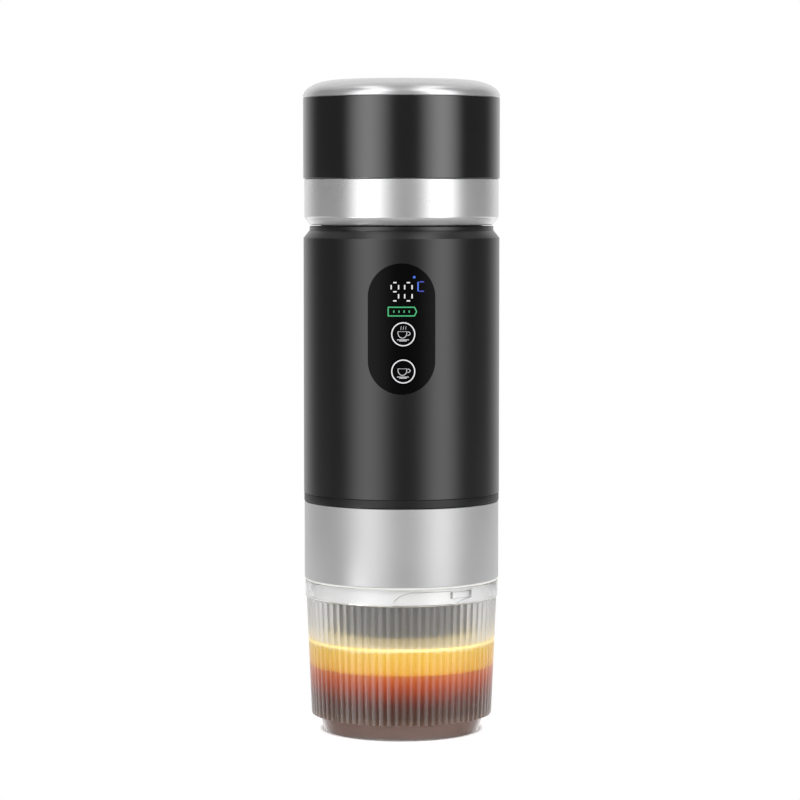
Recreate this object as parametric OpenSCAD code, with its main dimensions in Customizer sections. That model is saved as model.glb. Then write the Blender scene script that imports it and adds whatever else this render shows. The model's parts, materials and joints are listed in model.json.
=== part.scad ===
// Portable electric espresso maker, standing on its cup.
// Millimetres, +Z up, origin at the centre of the cup's foot. The panel faces -Y.

/* [Main] */
// Outer diameter of the body shell; the other round pieces step in or out from it
body_d = 71; // [70:0.5:80]
// Straight height of the body shell
body_h = 92.2; // [90:0.1:110]
// Wall of the body shell
body_wall = 1.8; // [1.2:0.1:2]
// Height of the bevelled shoulder
shoulder_h = 2.8; // [2:0.1:4]
// Step from the body radius in to the neck radius
neck_step = 2.2; // [1.6:0.1:2.6]
// Height of the dark gap under the cap
neck_gap = 1.9; // [1.6:0.1:3]

/* [Cup] */
// Height of the smooth foot
foot_h = 5.3; // [5:0.1:9]
// Step from the body radius in to the bottom of the foot
foot_step = 7.2; // [6:0.1:9]
// Outward taper of the foot over its height
foot_taper = 1.5; // [0.5:0.1:2]
// Height of the bevel between foot and reeds
foot_bevel_h = 0.8; // [0.5:0.1:3]
// Height of the reeded wall
reed_h = 43.1; // [36:0.1:50]
// Number of reeds round the cup
reed_count = 69; // [48:1:90]
// Depth of the grooves between reeds
reed_depth = 0.5; // [0.3:0.1:1]
// Step from the body radius in to the reeds at their top
reed_step = 0.85; // [0.6:0.05:1.5]
// Inward taper of the reeded wall from top to bottom
reed_taper = 1.85; // [1:0.05:2.5]
// Wall of the cup behind the grooves
cup_wall = 2; // [1.5:0.1:2.5]
// Height of the smooth collar above the reeds
collar_h = 6; // [6:0.1:9]
// Step from the body radius in to the collar
collar_step = 0.4; // [0.3:0.05:0.6]
// Wall of the collar
collar_wall = 2.5; // [2:0.1:2.8]
// Thickness of the cup's floor
cup_floor = 1.5; // [1.5:0.1:5]
// Depth of the recess under the foot
foot_recess = 0.5; // [0.5:0.1:2.5]
// Width of the ring that the cup stands on
foot_ring_w = 4; // [3:0.1:6]

/* [Bayonet] */
// Number of lugs inside the collar
lug_count = 3; // [2:1:3]
// Arc that one lug covers, in degrees
lug_arc = 15; // [10:1:20]
// Angle from the front to the middle of the first lug, in degrees
lug_angle = 40.5; // [30:0.5:60]
// Height of a lug
lug_h = 2.25; // [1.5:0.05:2.6]
// Height of the lug's underside above the reeds
lug_lift = 2; // [1.6:0.1:2.4]
// Depth of a lug
lug_depth = 1.2; // [0.8:0.1:1.5]
// Rise of the chamber over one full turn of the bayonet
bayonet_lead = 48; // [40:1:60]
// Arc of the level run of the track past the lug, in degrees
track_run = 25; // [20:1:40]
// Arc of the curved mouth of the track, in degrees
track_mouth = 14; // [10:1:20]
// Wall of the skirt behind the track
skirt_wall = 1.3; // [1:0.1:2]

/* [Brew chamber] */
// Height of the silver sleeve
sleeve_h = 28; // [24:0.1:36]
// Step from the body radius in to the sleeve
sleeve_step = 0.2; // [0.1:0.05:0.5]
// Wall of the sleeve and of its bottom flange
sleeve_wall = 1.2; // [0.8:0.1:1.5]
// Thickness of the seal on the cup's rim
cup_seal_h = 0.8; // [0.8:0.1:2]
// Step from the inside of the bayonet skirt in to the nose that reaches down into the cup
nose_step = 3.3; // [3:0.1:5]
// Reach of the nose below the sleeve
nose_drop = 19.5; // [12:0.5:24]
// Depth of the hollow under the nose
nose_hollow = 10; // [5:0.5:12]
// Wall of the hollow nose
nose_wall = 2.4; // [1.5:0.1:3]
// Wall of the nose round the basket's well
well_wall = 5; // [4.5:0.1:7]
// Depth of the filter basket
basket_h = 17.5; // [12:0.5:18]
// Sheet thickness of the filter basket
basket_wall = 0.7; // [0.5:0.1:1]
// Width of the basket's flange
basket_flange = 3.3; // [2.5:0.1:4]
// Diameter of the holes in basket and shower screen
sieve_hole_d = 1.2; // [0.8:0.1:1.5]
// Rings of holes round the middle one
sieve_rings = 3; // [2:1:3]
// Depth of the threaded socket above the basket
socket_depth = 11.7; // [9:0.1:13]
// Thickness of the brew gasket
brew_gasket_h = 2; // [1.5:0.1:3]
// Wall of the chamber round the threaded socket
socket_wall = 3.7; // [2.5:0.1:5]
// Bore of the coffee outlet
outlet_bore = 1.6; // [1:0.1:2.4]

/* [Base] */
// Height of the black ring under the body
base_h = 3; // [2.5:0.1:5]
// Step from the body radius in to the base ring
base_step = 0.1; // [0:0.05:0.4]
// Height of the rim that centres the body shell
rim_h = 3; // [2:0.1:5]
// Wall of that rim
rim_wall = 1.5; // [1:0.1:2]
// Step from the brew head's edge in to its circle of screws
head_screw_step = 8; // [5:0.1:12]

/* [Panel] */
// Width of the capsule window
panel_w = 23.8; // [20:0.1:26]
// Height of the capsule window
panel_h = 46.2; // [42:0.1:52]
// Distance of the window's middle below the shoulder
panel_drop = 31.6; // [28:0.1:36]
// Depth of the lens at its middle
lens_depth = 3.3; // [3:0.1:4]
// Diameter of the two buttons
button_d = 9.4; // [6:0.1:10]
// Offset of the buttons to the right of the window's middle
button_x = 0.5; // [0:0.1:1]
// Height of the upper button below the window's middle
heat_drop = 1.8; // [1:0.1:3]
// Distance between the two buttons
button_pitch = 13.1; // [12:0.1:14]
// Travel of a button
button_travel = 0.5; // [0.3:0.1:0.8]
// Width of the display
display_w = 18; // [14:0.5:18]
// Height of the display
display_h = 14.5; // [10:0.5:15]
// Height of the display's middle above the window's middle
display_lift = 11.5; // [11:0.1:13]

/* [Cap] */
// Height of the silver ring
cap_ring_h = 16.7; // [14:0.1:22]
// Step from the body radius in to the silver ring
cap_ring_step = 0.3; // [0.1:0.05:0.6]
// Height of the bevel under the silver ring
cap_bevel = 2.9; // [2.2:0.1:4]
// Inward reach of that bevel
cap_bevel_in = 2.2; // [1.6:0.1:2.6]
// Thickness of the lip inside the ring, which the liner stands on
cap_lip = 2; // [1:0.1:2.2]
// Height of the black band
cap_band_h = 29; // [24:0.1:40]
// Step from the body radius out to the black band
cap_band_proud = 0.1; // [0:0.05:0.3]
// Height of the dome
dome_h = 6.4; // [5:0.1:10]
// Straight edge at the foot of the dome
dome_edge = 0.5; // [0.3:0.1:1]
// Radius of the dome's flat crown
crown_r = 20; // [12:0.5:26]
// Wall of the ring, the band and the dome
cap_wall = 1.6; // [1.2:0.1:2]
// Thickness of the liner's ceiling and of the lip that rests on it
liner_top = 2.4; // [1.6:0.1:4]
// Thickness of the cap gasket
cap_gasket_h = 2; // [1.5:0.1:3]

/* [Water] */
// Height of the threaded neck above the shoulder
neck_h = 22.6; // [22:0.1:26]
// Step from the neck in to the crest of its thread
thread_step = 3.3; // [3:0.1:4]
// Thickness of the flange under the neck
neck_flange = 1.5; // [1:0.1:1.6]
// Depth of the neck's sleeve inside the body shell
neck_sleeve = 6; // [4:0.5:8]
// Wall of the threaded neck, from the thread in to the tank's bore
neck_wall = 4.9; // [4.5:0.1:8]
// Sheet thickness of the water tank
tank_wall = 0.8; // [0.5:0.1:1]
// Thickness of the heater plate
heater_h = 4; // [3:0.1:6]
// Step from the tank's inside in to the edge of the heater plate
heater_step = 1; // [1:0.1:4]
// Width of the insulating ring under the heater
insulator_w = 7; // [5:0.1:7]
// Height of the insulating ring under the heater
insulator_h = 2.5; // [2.5:0.1:5]
// Outer diameter of the silicone inlet tube
tube_d = 8; // [7:0.1:8.4]
// Bore of the inlet tube
tube_bore = 6; // [5:0.1:6.2]
// Bore of the metal water fittings
fitting_bore = 3; // [2:0.1:3.4]
// Diameter of the tube from pump to brew head
outlet_tube_d = 4.8; // [4:0.1:6]

/* [Power] */
// Diameter of a battery cell
cell_d = 18.4; // [18:0.1:18.6]
// Length of a battery cell
cell_l = 65; // [60:0.1:70]
// Gap between the cells and the edge of the inner frame; the motor fills the room between the cells
cell_edge = 0.1; // [0.1:0.1:1]
// Length of the motor
motor_l = 32; // [24:0.5:36]
// Diameter of the motor's shaft
motor_shaft_d = 2; // [1.5:0.1:2.4]
// Gap between motor and cells
cell_gap = 1.3; // [1:0.1:1.6]
// Thickness of the plates of the inner frame
plate_t = 2.5; // [2:0.1:4]
// Thickness of the circuit boards
board_t = 1.6; // [1:0.1:2]
// Height of the charge socket above the foot of the body shell
charge_lift = 11.5; // [11:0.5:16]

/* [Pump] */
// Gear module
gear_module = 0.6; // [0.5:0.05:0.65]
// Teeth on the motor pinion
pinion_teeth = 12; // [12:1:14]
// Teeth on the pump gear
gear_teeth = 30; // [26:1:30]
// Face width of the gears
gear_w = 5; // [3:0.5:6]
// Height of the pump head
pump_h = 12; // [10:0.5:16]
// Step from the motor's side in to the pump head's side
pump_step = 1; // [0.5:0.1:3]
// Diameter of the pump shaft
pump_shaft_d = 3; // [2:0.1:4]
// Wall of the gear case
case_wall = 1.5; // [1:0.1:1.6]

/* [Fits] */
// Gap between pieces that move past each other
part_gap = 0.3; // [0.2:0.05:0.4]
// Radial gap between fixed pieces that fit into each other
seat_gap = 0.1; // [0.05:0.05:0.2]
// Radial gap of shafts in their bores
run_gap = 0.05; // [0.02:0.01:0.08]
// Seam between the sleeve and the base ring
seam = 0.2; // [0.1:0.05:0.4]

/* [Hidden] */
$fn = 96;
eps = 0.5;

// Heights, from the foot up
z_reed = foot_h + foot_bevel_h;
z_collar = z_reed + reed_h;
z_rim = z_collar + collar_h;
z_sleeve = z_rim + cup_seal_h;
z_core = z_sleeve + sleeve_wall;
z_nose = z_sleeve - nose_drop;
z_base = z_sleeve + sleeve_h;
z_body = z_base + base_h;
z_shoulder = z_body + body_h;
z_neck = z_shoulder + shoulder_h;
z_cap = z_neck + neck_gap;
z_band = z_cap + cap_ring_h;
z_dome = z_band + cap_band_h;
z_top = z_dome + dome_h;
z_shelf = z_base - socket_depth;
z_brew_gasket = z_shelf + basket_wall;
z_head = z_brew_gasket + brew_gasket_h;
z_basket = z_shelf - basket_h;
z_well = z_basket - basket_wall - part_gap;
z_web = z_nose + nose_hollow;
z_plate = z_body + plate_t;
z_pump = z_plate + pump_h;
z_gear = z_pump + case_wall + part_gap;
z_cover = z_gear + gear_w + part_gap;
z_motor = z_cover + case_wall;
contact_t = 0.3;
z_cell = z_plate + contact_t;
z_top_plate = z_cell + cell_l + contact_t;
z_insulator = z_top_plate + plate_t;
z_heater = z_insulator + insulator_h;
z_tank = z_heater + heater_h;
z_lip = z_neck + neck_h;
z_cap_gasket = z_lip + tank_wall;
z_liner_top = z_cap_gasket + cap_gasket_h;
z_panel = z_shoulder - panel_drop;
z_heat_button = z_panel - heat_drop;
z_brew_button = z_heat_button - button_pitch;
z_display = z_panel + display_lift;
z_charge = z_body + charge_lift;

// Radii, from the body out and in
body_r = body_d / 2;
shell_ir = body_r - body_wall;
neck_r = body_r - neck_step;
collar_r = body_r - collar_step;
collar_ir = collar_r - collar_wall;
foot_r = body_r - foot_step;
reed_top_r = body_r - reed_step;
reed_foot_r = reed_top_r - reed_taper;
groove_top_r = reed_top_r - reed_depth;
groove_foot_r = reed_foot_r - reed_depth;
skirt_r = collar_ir - part_gap;
lug_ir = collar_ir - lug_depth;
track_r = lug_ir - part_gap;
skirt_ir = track_r - skirt_wall;
sleeve_r = body_r - sleeve_step;
core_r = sleeve_r - sleeve_wall - seat_gap;
nose_r = skirt_ir - nose_step;
nose_hole_r = nose_r + part_gap;
skirt_screw_pcr = (nose_hole_r + skirt_ir) / 2;
well_r = nose_r - well_wall;
basket_r = well_r - part_gap;
basket_ir = basket_r - basket_wall;
basket_flange_r = basket_r + basket_flange;
socket_r = core_r - socket_wall;
head_r = socket_r - part_gap;
head_screw_pcr = head_r - head_screw_step;
base_r = body_r - base_step;
rim_r = shell_ir - seat_gap;
plate_r = rim_r - rim_wall - part_gap;
cap_ring_r = body_r - cap_ring_step;
cap_band_r = body_r + cap_band_proud;
cap_ir = cap_ring_r - cap_wall;
liner_r = cap_ir - seat_gap;
thread_r = neck_r - thread_step;
liner_ir = thread_r + part_gap;
tank_r = thread_r - neck_wall - part_gap;
tank_ir = tank_r - tank_wall;
heater_r = tank_ir - heater_step;
tank_flange_r = thread_r - part_gap;
neck_sleeve_r = neck_r - body_wall - seat_gap;

// Places of the inner pieces
lens_back = -(body_r - lens_depth);
display_t = 4.7;
button_flange = 0.8;
board_front = lens_back + part_gap + display_t;
board_back = board_front + board_t;
cell_r = cell_d / 2;
cell_x = plate_r - cell_edge - cell_r;
motor_r = cell_x - cell_r - cell_gap;
pump_w = 2 * (motor_r - pump_step);
cell_ring_t = 1.2;
cell_ring_h = 6;
tube_r = tube_d / 2;
barb_r = tube_bore / 2 - seat_gap;
barb_h = 10;
tube_y = motor_r + tube_r + cell_gap;
outlet_y = 6;
pinion_r = gear_module * pinion_teeth / 2;
gear_r = gear_module * gear_teeth / 2;
gear_y = -(pinion_r + gear_r);
outlet_r = outlet_tube_d / 2;
outlet_seat = 3;
post_w = 3;
post_d = 4;
post_x = 11;
rear_post_x = 9;
post_gap = 3;
rear_post_y = tube_y + tube_r + post_gap;
charge_board_y = rear_post_y + post_d;
charge_w = 9;
charge_t = 3.2;
charge_board_h = 14;
charge_board_drop = 6;
charge_board_edge = 2.5;
board_edge = 3;
board_foot = 4;
board_head = 2;

// Screws: shank radius, head radius, head height
small_screw = [0.8, 1.3, 0.8];
board_screw = [0.8, 1.6, 1.2];
head_screw = [1.25, 2.2, 1.6];

// Points of an elliptical quarter, from the crown out to the edge
function quarter(r, rx, z, rz, steps = 16) =
  [for (i = [0:steps]) [r + rx * sin(90 * i / steps), z + rz * cos(90 * i / steps)]];

// Outline of the reeds: rounded ridges that meet in sharp grooves
function reed_outline(r, depth, steps = 6) = [
  for (i = [0:reed_count * steps - 1])
    let (a = 360 * i / (reed_count * steps), ridge = abs(sin(180 * (i % steps) / steps)))
    (r - depth + depth * ridge) * [cos(a), sin(a)]
];

// Outline of a gear with straight-flanked teeth, its first tooth on +X
function gear_outline(teeth) = [
  let (pitch_r = gear_module * teeth / 2, step = 360 / teeth)
  for (i = [0:teeth - 1], p = [[-0.35, -1.2], [-0.13, 0.85], [0.13, 0.85], [0.35, -1.2]])
    (pitch_r + p[1] * gear_module) * [cos(step * (i + p[0])), sin(step * (i + p[0]))]
];

// Upper and lower edge of the bayonet track at an angle past its mouth, where both dip out of the skirt
track_stop = track_mouth + track_run + lug_arc;
track_arc = track_stop + 0.6;
track_top = lug_lift + lug_h + part_gap;
track_dip = 1;
function track_upper(a) =
  let (rise = 1 - pow(1 - min(a, track_mouth) / track_mouth, 2))
  (track_top + track_dip) * sqrt(rise) - track_dip;
function track_lower(a) =
  max(-2 * track_dip, lug_lift - part_gap / 2 - bayonet_lead / 360 * max(0, track_stop - a));

module ring(r, ir, z, h) {
  translate([0, 0, z])
    difference() {
      cylinder(r = r, h = h);
      translate([0, 0, -eps]) cylinder(r = ir, h = h + 2 * eps);
    }
}

module disc(r, z, h) {
  translate([0, 0, z]) cylinder(r = r, h = h);
}

module at(x, y) {
  translate([x, y, 0]) children();
}

module around(count, r, start = 0) {
  for (i = [0:count - 1]) rotate(start + 360 * i / count) translate([r, 0, 0]) children();
}

// Turns what lies at the angle 0 to an angle measured from the front
module from_front(a) {
  rotate(a - 90) children();
}

// A pin or hole along +Y
module along_y(x, z, r, y, l) {
  translate([x, y, z]) rotate([-90, 0, 0]) cylinder(r = r, h = l);
}

// The capsule outline of the panel, standing upright, as a bar along Y
module capsule(w, h, y, l) {
  translate([0, y + l, z_panel])
    rotate([90, 0, 0])
      linear_extrude(l)
        union() {
          square([w, h - w], center = true);
          translate([0, (h - w) / 2]) circle(d = w);
          translate([0, -(h - w) / 2]) circle(d = w);
        }
}

module sieve_holes(pitch, z, h) {
  disc(sieve_hole_d / 2, z, h);
  for (k = [1:sieve_rings]) around(6 * k, pitch * k) disc(sieve_hole_d / 2, z, h);
}

// Screw standing on z, its head above and its shank below
module screw_down(s, z, l) {
  disc(s[1], z, s[2]);
  disc(s[0], z - l, l + eps);
}

module gear_body(teeth, z, bore_d) {
  translate([0, 0, z])
    difference() {
      linear_extrude(gear_w) polygon(gear_outline(teeth));
      translate([0, 0, -eps]) cylinder(d = bore_d + 0.02, h = gear_w + 2 * eps);
    }
}

// The two overlapping rounds of the gear case
module gear_rounds(grow, z, h) {
  disc(pinion_r + gear_module + grow, z, h);
  at(0, gear_y) disc(gear_r + gear_module + grow, z, h);
}

module button(z) {
  intersection() {
    disc(body_r, z - button_d, 2 * button_d);
    union() {
      along_y(button_x, z, button_d / 2, -body_r - eps, eps + lens_depth + button_flange / 2);
      along_y(button_x, z, button_d / 2 + button_flange, lens_back, button_flange);
    }
  }
}

module cap_dome() {
  inner_r = cap_band_r - cap_wall;
  color("silver")
    rotate_extrude()
      polygon(concat(
        [[0, z_top]],
        quarter(crown_r, cap_band_r - crown_r, z_dome + dome_edge, dome_h - dome_edge),
        [[cap_band_r, z_dome], [inner_r - seat_gap, z_dome]],
        [[inner_r - seat_gap, z_dome - 3], [inner_r - cap_wall, z_dome - 3]],
        [[inner_r - cap_wall, z_dome + dome_edge], [crown_r, z_top - cap_wall], [0, z_top - cap_wall]]
      ));
}

module cap_band() {
  lip_r = liner_r - 6;
  edge = 0.25;
  color([0.06, 0.06, 0.07])
    rotate_extrude()
      polygon([
        [cap_ir, z_band], [cap_band_r - edge, z_band], [cap_band_r, z_band + edge],
        [cap_band_r, z_dome - edge], [cap_band_r - edge, z_dome], [cap_band_r - cap_wall, z_dome],
        [cap_band_r - cap_wall, z_liner_top + 2 * liner_top], [lip_r, z_liner_top + 2 * liner_top],
        [lip_r, z_liner_top + liner_top], [cap_ir, z_liner_top + liner_top]
      ]);
}

module cap_ring() {
  shelf_r = liner_ir + part_gap;
  color("gainsboro")
    rotate_extrude()
      polygon([
        [shelf_r, z_cap], [cap_ring_r - cap_bevel_in, z_cap], [cap_ring_r - cap_wall / 3, z_cap + cap_lip],
        [cap_ring_r, z_cap + cap_bevel], [cap_ring_r, z_band], [cap_ir, z_band], [cap_ir, z_cap + cap_lip],
        [shelf_r, z_cap + cap_lip]
      ]);
}

module cap_liner() {
  z_foot = z_cap + cap_lip;
  color([0.15, 0.15, 0.16])
    difference() {
      disc(liner_r, z_foot, z_liner_top + liner_top - z_foot);
      disc(liner_ir, z_foot - eps, z_liner_top - z_foot + eps);
    }
}

module cap_gasket() {
  color([0.25, 0.25, 0.25]) ring(tank_flange_r, tank_ir + seat_gap, z_cap_gasket, cap_gasket_h);
}

module top_collar() {
  color([0.07, 0.07, 0.08])
    difference() {
      union() {
        disc(neck_sleeve_r, z_neck - neck_sleeve, neck_sleeve + eps);
        disc(neck_r, z_neck, neck_flange);
        disc(thread_r, z_neck, neck_h);
      }
      disc(tank_r + part_gap, z_neck - neck_sleeve - eps, neck_sleeve + neck_h + 2 * eps);
    }
}

module body_shell() {
  foot_edge = 0.5;
  color([0.12, 0.12, 0.13])
    difference() {
      rotate_extrude()
        polygon([
          [shell_ir, z_body], [body_r - foot_edge, z_body], [body_r, z_body + foot_edge],
          [body_r, z_shoulder], [neck_r, z_neck], [neck_r - body_wall, z_neck],
          [neck_r - body_wall, z_neck - body_wall], [shell_ir, z_shoulder - body_wall]
        ]);
      capsule(panel_w, panel_h, -body_r - eps, body_r / 2);
      translate([0, shell_ir - 5, z_charge])
        rotate([-90, 0, 0]) socket_bar(charge_w + 2 * seat_gap, charge_t + 2 * seat_gap, body_wall + 10);
    }
}

module panel_lens() {
  color([0.05, 0.05, 0.06])
    difference() {
      intersection() {
        disc(body_r, z_panel - panel_h, 2 * panel_h);
        capsule(panel_w - 2 * seat_gap, panel_h - 2 * seat_gap, -body_r - eps, lens_depth + eps);
      }
      for (z = [z_heat_button, z_brew_button])
        along_y(button_x, z, button_d / 2 + part_gap / 2, -body_r - 2 * eps, lens_depth + 4 * eps);
    }
}

module heat_button() {
  color([0.1, 0.1, 0.11]) button(z_heat_button);
}

module brew_button() {
  color([0.1, 0.1, 0.11]) button(z_brew_button);
}

module display_module() {
  color([0.2, 0.3, 0.4])
    translate([-display_w / 2, board_front - display_t, z_display - display_h / 2])
      cube([display_w, display_t, display_h]);
}

module key_switches() {
  switch_w = 6;
  switch_t = display_t + part_gap - button_flange - button_travel - part_gap / 2;
  color("dimgray")
    for (z = [z_heat_button, z_brew_button])
      union() {
        translate([button_x - switch_w / 2, board_front - switch_t + 1, z - switch_w / 2])
          cube([switch_w, switch_t - 1, switch_w]);
        along_y(button_x, z, switch_w / 4, board_front - switch_t, switch_t);
      }
}

// Heights of the two rows of board screws
board_screw_drop = 4;
board_screw_lift = 9;
board_screw_z = [z_panel - panel_h / 2 - board_screw_drop, z_brew_button + board_screw_lift];

module board_holes(r, y, l) {
  for (x = [-post_x, post_x], z = board_screw_z) along_y(x, z, r, y, l);
}

module control_board() {
  board_w = 2 * (post_x + board_edge);
  z_foot = board_screw_z[0] - board_foot;
  color("darkgreen")
    difference() {
      translate([-board_w / 2, board_front, z_foot])
        cube([board_w, board_t, z_display + display_h / 2 + board_head - z_foot]);
      board_holes(board_screw[0] + run_gap, board_front - eps, board_t + 2 * eps);
    }
}

module board_screws() {
  color("silver")
    union() {
      board_holes(board_screw[1], board_front - board_screw[2], board_screw[2]);
      board_holes(board_screw[0], board_front - eps, board_t + post_d);
    }
}

module water_tank() {
  color("lightsteelblue")
    difference() {
      union() {
        disc(tank_r, z_tank, z_lip - z_tank + eps / 2);
        disc(tank_flange_r, z_lip, tank_wall);
      }
      disc(tank_ir, z_tank + tank_wall, z_lip - z_tank + 2 * eps);
      at(0, tube_y) disc(barb_r + run_gap, z_tank - eps, tank_wall + 2 * eps);
    }
}

module tank_outlet() {
  z_foot = z_top_plate - barb_h;
  color("silver")
    at(0, tube_y)
      difference() {
        union() {
          disc(barb_r, z_foot, z_tank + tank_wall - z_foot + eps);
          disc(barb_r + 2, z_tank + tank_wall, 1);
        }
        disc(fitting_bore / 2, z_foot - eps, z_tank - z_foot + 3);
      }
}

probe_step = 13;
probe_x = heater_r - probe_step;
probe_r = 1.5;

module heater_plate() {
  color("goldenrod")
    difference() {
      disc(heater_r, z_heater, heater_h);
      at(0, tube_y) disc(barb_r + part_gap, z_heater - eps, heater_h + 2 * eps);
      at(probe_x, 0) disc(probe_r + run_gap, z_heater - eps, heater_h / 2 + eps);
    }
}

module heater_insulator() {
  color("ivory")
    difference() {
      ring(heater_r, heater_r - insulator_w, z_insulator, insulator_h);
      at(0, tube_y) disc(barb_r + part_gap, z_insulator - eps, insulator_h + 2 * eps);
    }
}

module temperature_probe() {
  z_foot = z_insulator + part_gap;
  color("silver") at(probe_x, 0) disc(probe_r, z_foot, z_heater + heater_h / 2 - z_foot);
}

module thermal_cutoff() {
  cutoff_l = 9;
  cutoff_w = 4;
  color("black")
    translate([-probe_x - cutoff_w / 2, -cutoff_l / 2, z_insulator + part_gap])
      cube([cutoff_w, cutoff_l, insulator_h - part_gap]);
}

module cell_places() {
  for (s = [-1, 1]) at(s * cell_x, 0) children();
}

// Short rings that hold the ends of both cells, trimmed to the round frame
module cell_rings(z) {
  intersection() {
    disc(plate_r, z, cell_ring_h);
    cell_places() ring(cell_r + part_gap + cell_ring_t, cell_r + part_gap, z, cell_ring_h);
  }
}

module frame_plate() {
  color([0.18, 0.18, 0.2])
    difference() {
      union() {
        disc(plate_r, z_top_plate, plate_t);
        translate([0, 0, z_top_plate - cell_ring_h + eps]) cell_rings(0);
      }
      translate([-body_r, -body_r, z_top_plate - eps])
        cube([body_d, board_back + body_r + part_gap, plate_t + 2 * eps]);
      at(0, tube_y) disc(barb_r + part_gap, z_top_plate - eps, plate_t + 2 * eps);
    }
}

module inner_frame() {
  post_h = z_top_plate - z_body;
  color([0.2, 0.2, 0.22])
    difference() {
      union() {
        disc(plate_r, z_body, plate_t);
        cell_rings(z_plate - eps);
        for (s = [-1, 1]) {
          translate([s * post_x - post_w / 2, board_back, z_body]) cube([post_w, post_d, post_h]);
          translate([s * rear_post_x - post_w / 2, rear_post_y, z_body]) cube([post_w, post_d, post_h]);
        }
      }
      at(0, outlet_y) disc(outlet_r + part_gap, z_body - eps, plate_t + 2 * eps);
      board_holes(board_screw[0] + run_gap, board_back - eps, post_d + 2 * eps);
    }
}

module cell() {
  union() {
    disc(cell_r, z_cell, cell_l - 1);
    disc(cell_r / 3, z_cell, cell_l);
  }
}

module battery_left() {
  color("seagreen") at(-cell_x, 0) cell();
}

module battery_right() {
  color("seagreen") at(cell_x, 0) cell();
}

module cell_contacts() {
  color("gainsboro")
    for (z = [z_plate, z_top_plate - contact_t]) cell_places() disc(cell_r / 2, z, contact_t);
}

module charge_board() {
  board_w = 2 * (rear_post_x + charge_board_edge);
  color("darkgreen")
    translate([-board_w / 2, charge_board_y, z_charge - charge_board_drop])
      cube([board_w, board_t, charge_board_h]);
}

// Upright outline of the charge socket, as a bar along its own Z
module socket_bar(w, t, l) {
  linear_extrude(l)
    union() {
      square([w - t, t], center = true);
      for (s = [-1, 1]) translate([s * (w - t) / 2, 0]) circle(d = t);
    }
}

module charge_port() {
  y0 = charge_board_y + board_t;
  length = body_r - 0.6 - y0;
  color("silver")
    translate([0, y0, z_charge])
      rotate([-90, 0, 0])
        difference() {
          socket_bar(charge_w, charge_t, length);
          translate([0, 0, 1]) socket_bar(charge_w - 0.8, charge_t - 0.8, length);
        }
}

module motor() {
  color("silver")
    difference() {
      union() {
        disc(motor_r, z_motor, motor_l);
        disc(motor_r / 2.5, z_motor + motor_l - eps, 2 + eps);
      }
      disc(motor_shaft_d / 2 + run_gap, z_motor - eps, motor_l / 2);
    }
}

module motor_shaft() {
  color("lightgray") disc(motor_shaft_d / 2, z_gear, z_motor + motor_l / 4 - z_gear);
}

module motor_pinion() {
  color("goldenrod") rotate(-90 + 180 / pinion_teeth) gear_body(pinion_teeth, z_gear, motor_shaft_d);
}

module pump_gear() {
  color("khaki") at(0, gear_y) rotate(90) gear_body(gear_teeth, z_gear, pump_shaft_d);
}

module pump_shaft() {
  z_foot = z_pump - pump_h / 2;
  color("lightgray") at(0, gear_y) disc(pump_shaft_d / 2, z_foot, z_cover - part_gap / 2 - z_foot);
}

module gear_cover() {
  color([0.3, 0.3, 0.32])
    difference() {
      gear_rounds(case_wall + part_gap, z_cover, case_wall);
      disc(motor_shaft_d / 2 + run_gap, z_cover - eps, case_wall + 2 * eps);
    }
}

module gear_case() {
  color([0.25, 0.25, 0.27])
    difference() {
      gear_rounds(case_wall + part_gap, z_pump, z_cover - z_pump);
      gear_rounds(part_gap, z_pump + case_wall, z_cover - z_pump);
      at(0, gear_y) disc(pump_shaft_d / 2 + run_gap, z_pump - eps, case_wall + 2 * eps);
    }
}

module pump_head() {
  y_front = gear_y - gear_r;
  y_back = tube_y + tube_r;
  color([0.75, 0.75, 0.72])
    difference() {
      union() {
        translate([-pump_w / 2, y_front, z_plate]) cube([pump_w, y_back - y_front, pump_h]);
        at(0, tube_y) disc(barb_r, z_pump - eps, barb_h + eps);
      }
      at(0, gear_y) disc(pump_shaft_d / 2 + run_gap, z_pump - pump_h / 2, pump_h);
      at(0, tube_y) disc(fitting_bore / 2, z_plate + pump_h / 3, pump_h + barb_h);
      at(0, outlet_y) disc(outlet_r + seat_gap, z_plate - eps, outlet_seat + eps);
      at(0, outlet_y) disc(outlet_r / 2, z_plate - eps, pump_h / 2 + eps);
    }
}

module inlet_tube() {
  color("whitesmoke") at(0, tube_y) ring(tube_r, tube_bore / 2, z_pump, z_top_plate - part_gap - z_pump);
}

module outlet_tube() {
  z_foot = z_base - outlet_seat;
  color("whitesmoke") at(0, outlet_y) ring(outlet_r, outlet_r / 2, z_foot, z_plate + outlet_seat - z_foot);
}

module base_ring() {
  edge = 0.3;
  color([0.06, 0.06, 0.07])
    difference() {
      rotate_extrude()
        polygon([
          [0, z_base], [base_r - edge, z_base], [base_r, z_base + edge], [base_r, z_body - edge],
          [base_r - edge, z_body], [rim_r, z_body], [rim_r, z_body + rim_h],
          [rim_r - rim_wall, z_body + rim_h], [rim_r - rim_wall, z_body], [0, z_body]
        ]);
      at(0, outlet_y) disc(outlet_r + part_gap, z_base - eps, base_h + 2 * eps);
      around(4, head_screw_pcr, 45) {
        disc(head_screw[0] + run_gap, z_base - eps, base_h + 2 * eps);
        disc(head_screw[1] + seat_gap, z_body - head_screw[2], head_screw[2] + eps);
      }
    }
}

head_screw_l = 8;

module brew_head() {
  color([0.2, 0.2, 0.21])
    difference() {
      disc(head_r, z_head, z_base - z_head);
      at(0, outlet_y) disc(outlet_r + seat_gap, z_base - outlet_seat, outlet_seat + eps);
      at(0, outlet_y) disc(outlet_r / 2, z_head - eps, z_base - z_head);
      around(4, head_screw_pcr, 45)
        disc(head_screw[0] + run_gap, z_body - head_screw[2] - head_screw_l - 1, head_screw_l + 2 + base_h);
      disc(head_screw[0] + run_gap, z_head - eps, (z_base - z_head) / 2);
    }
}

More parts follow.
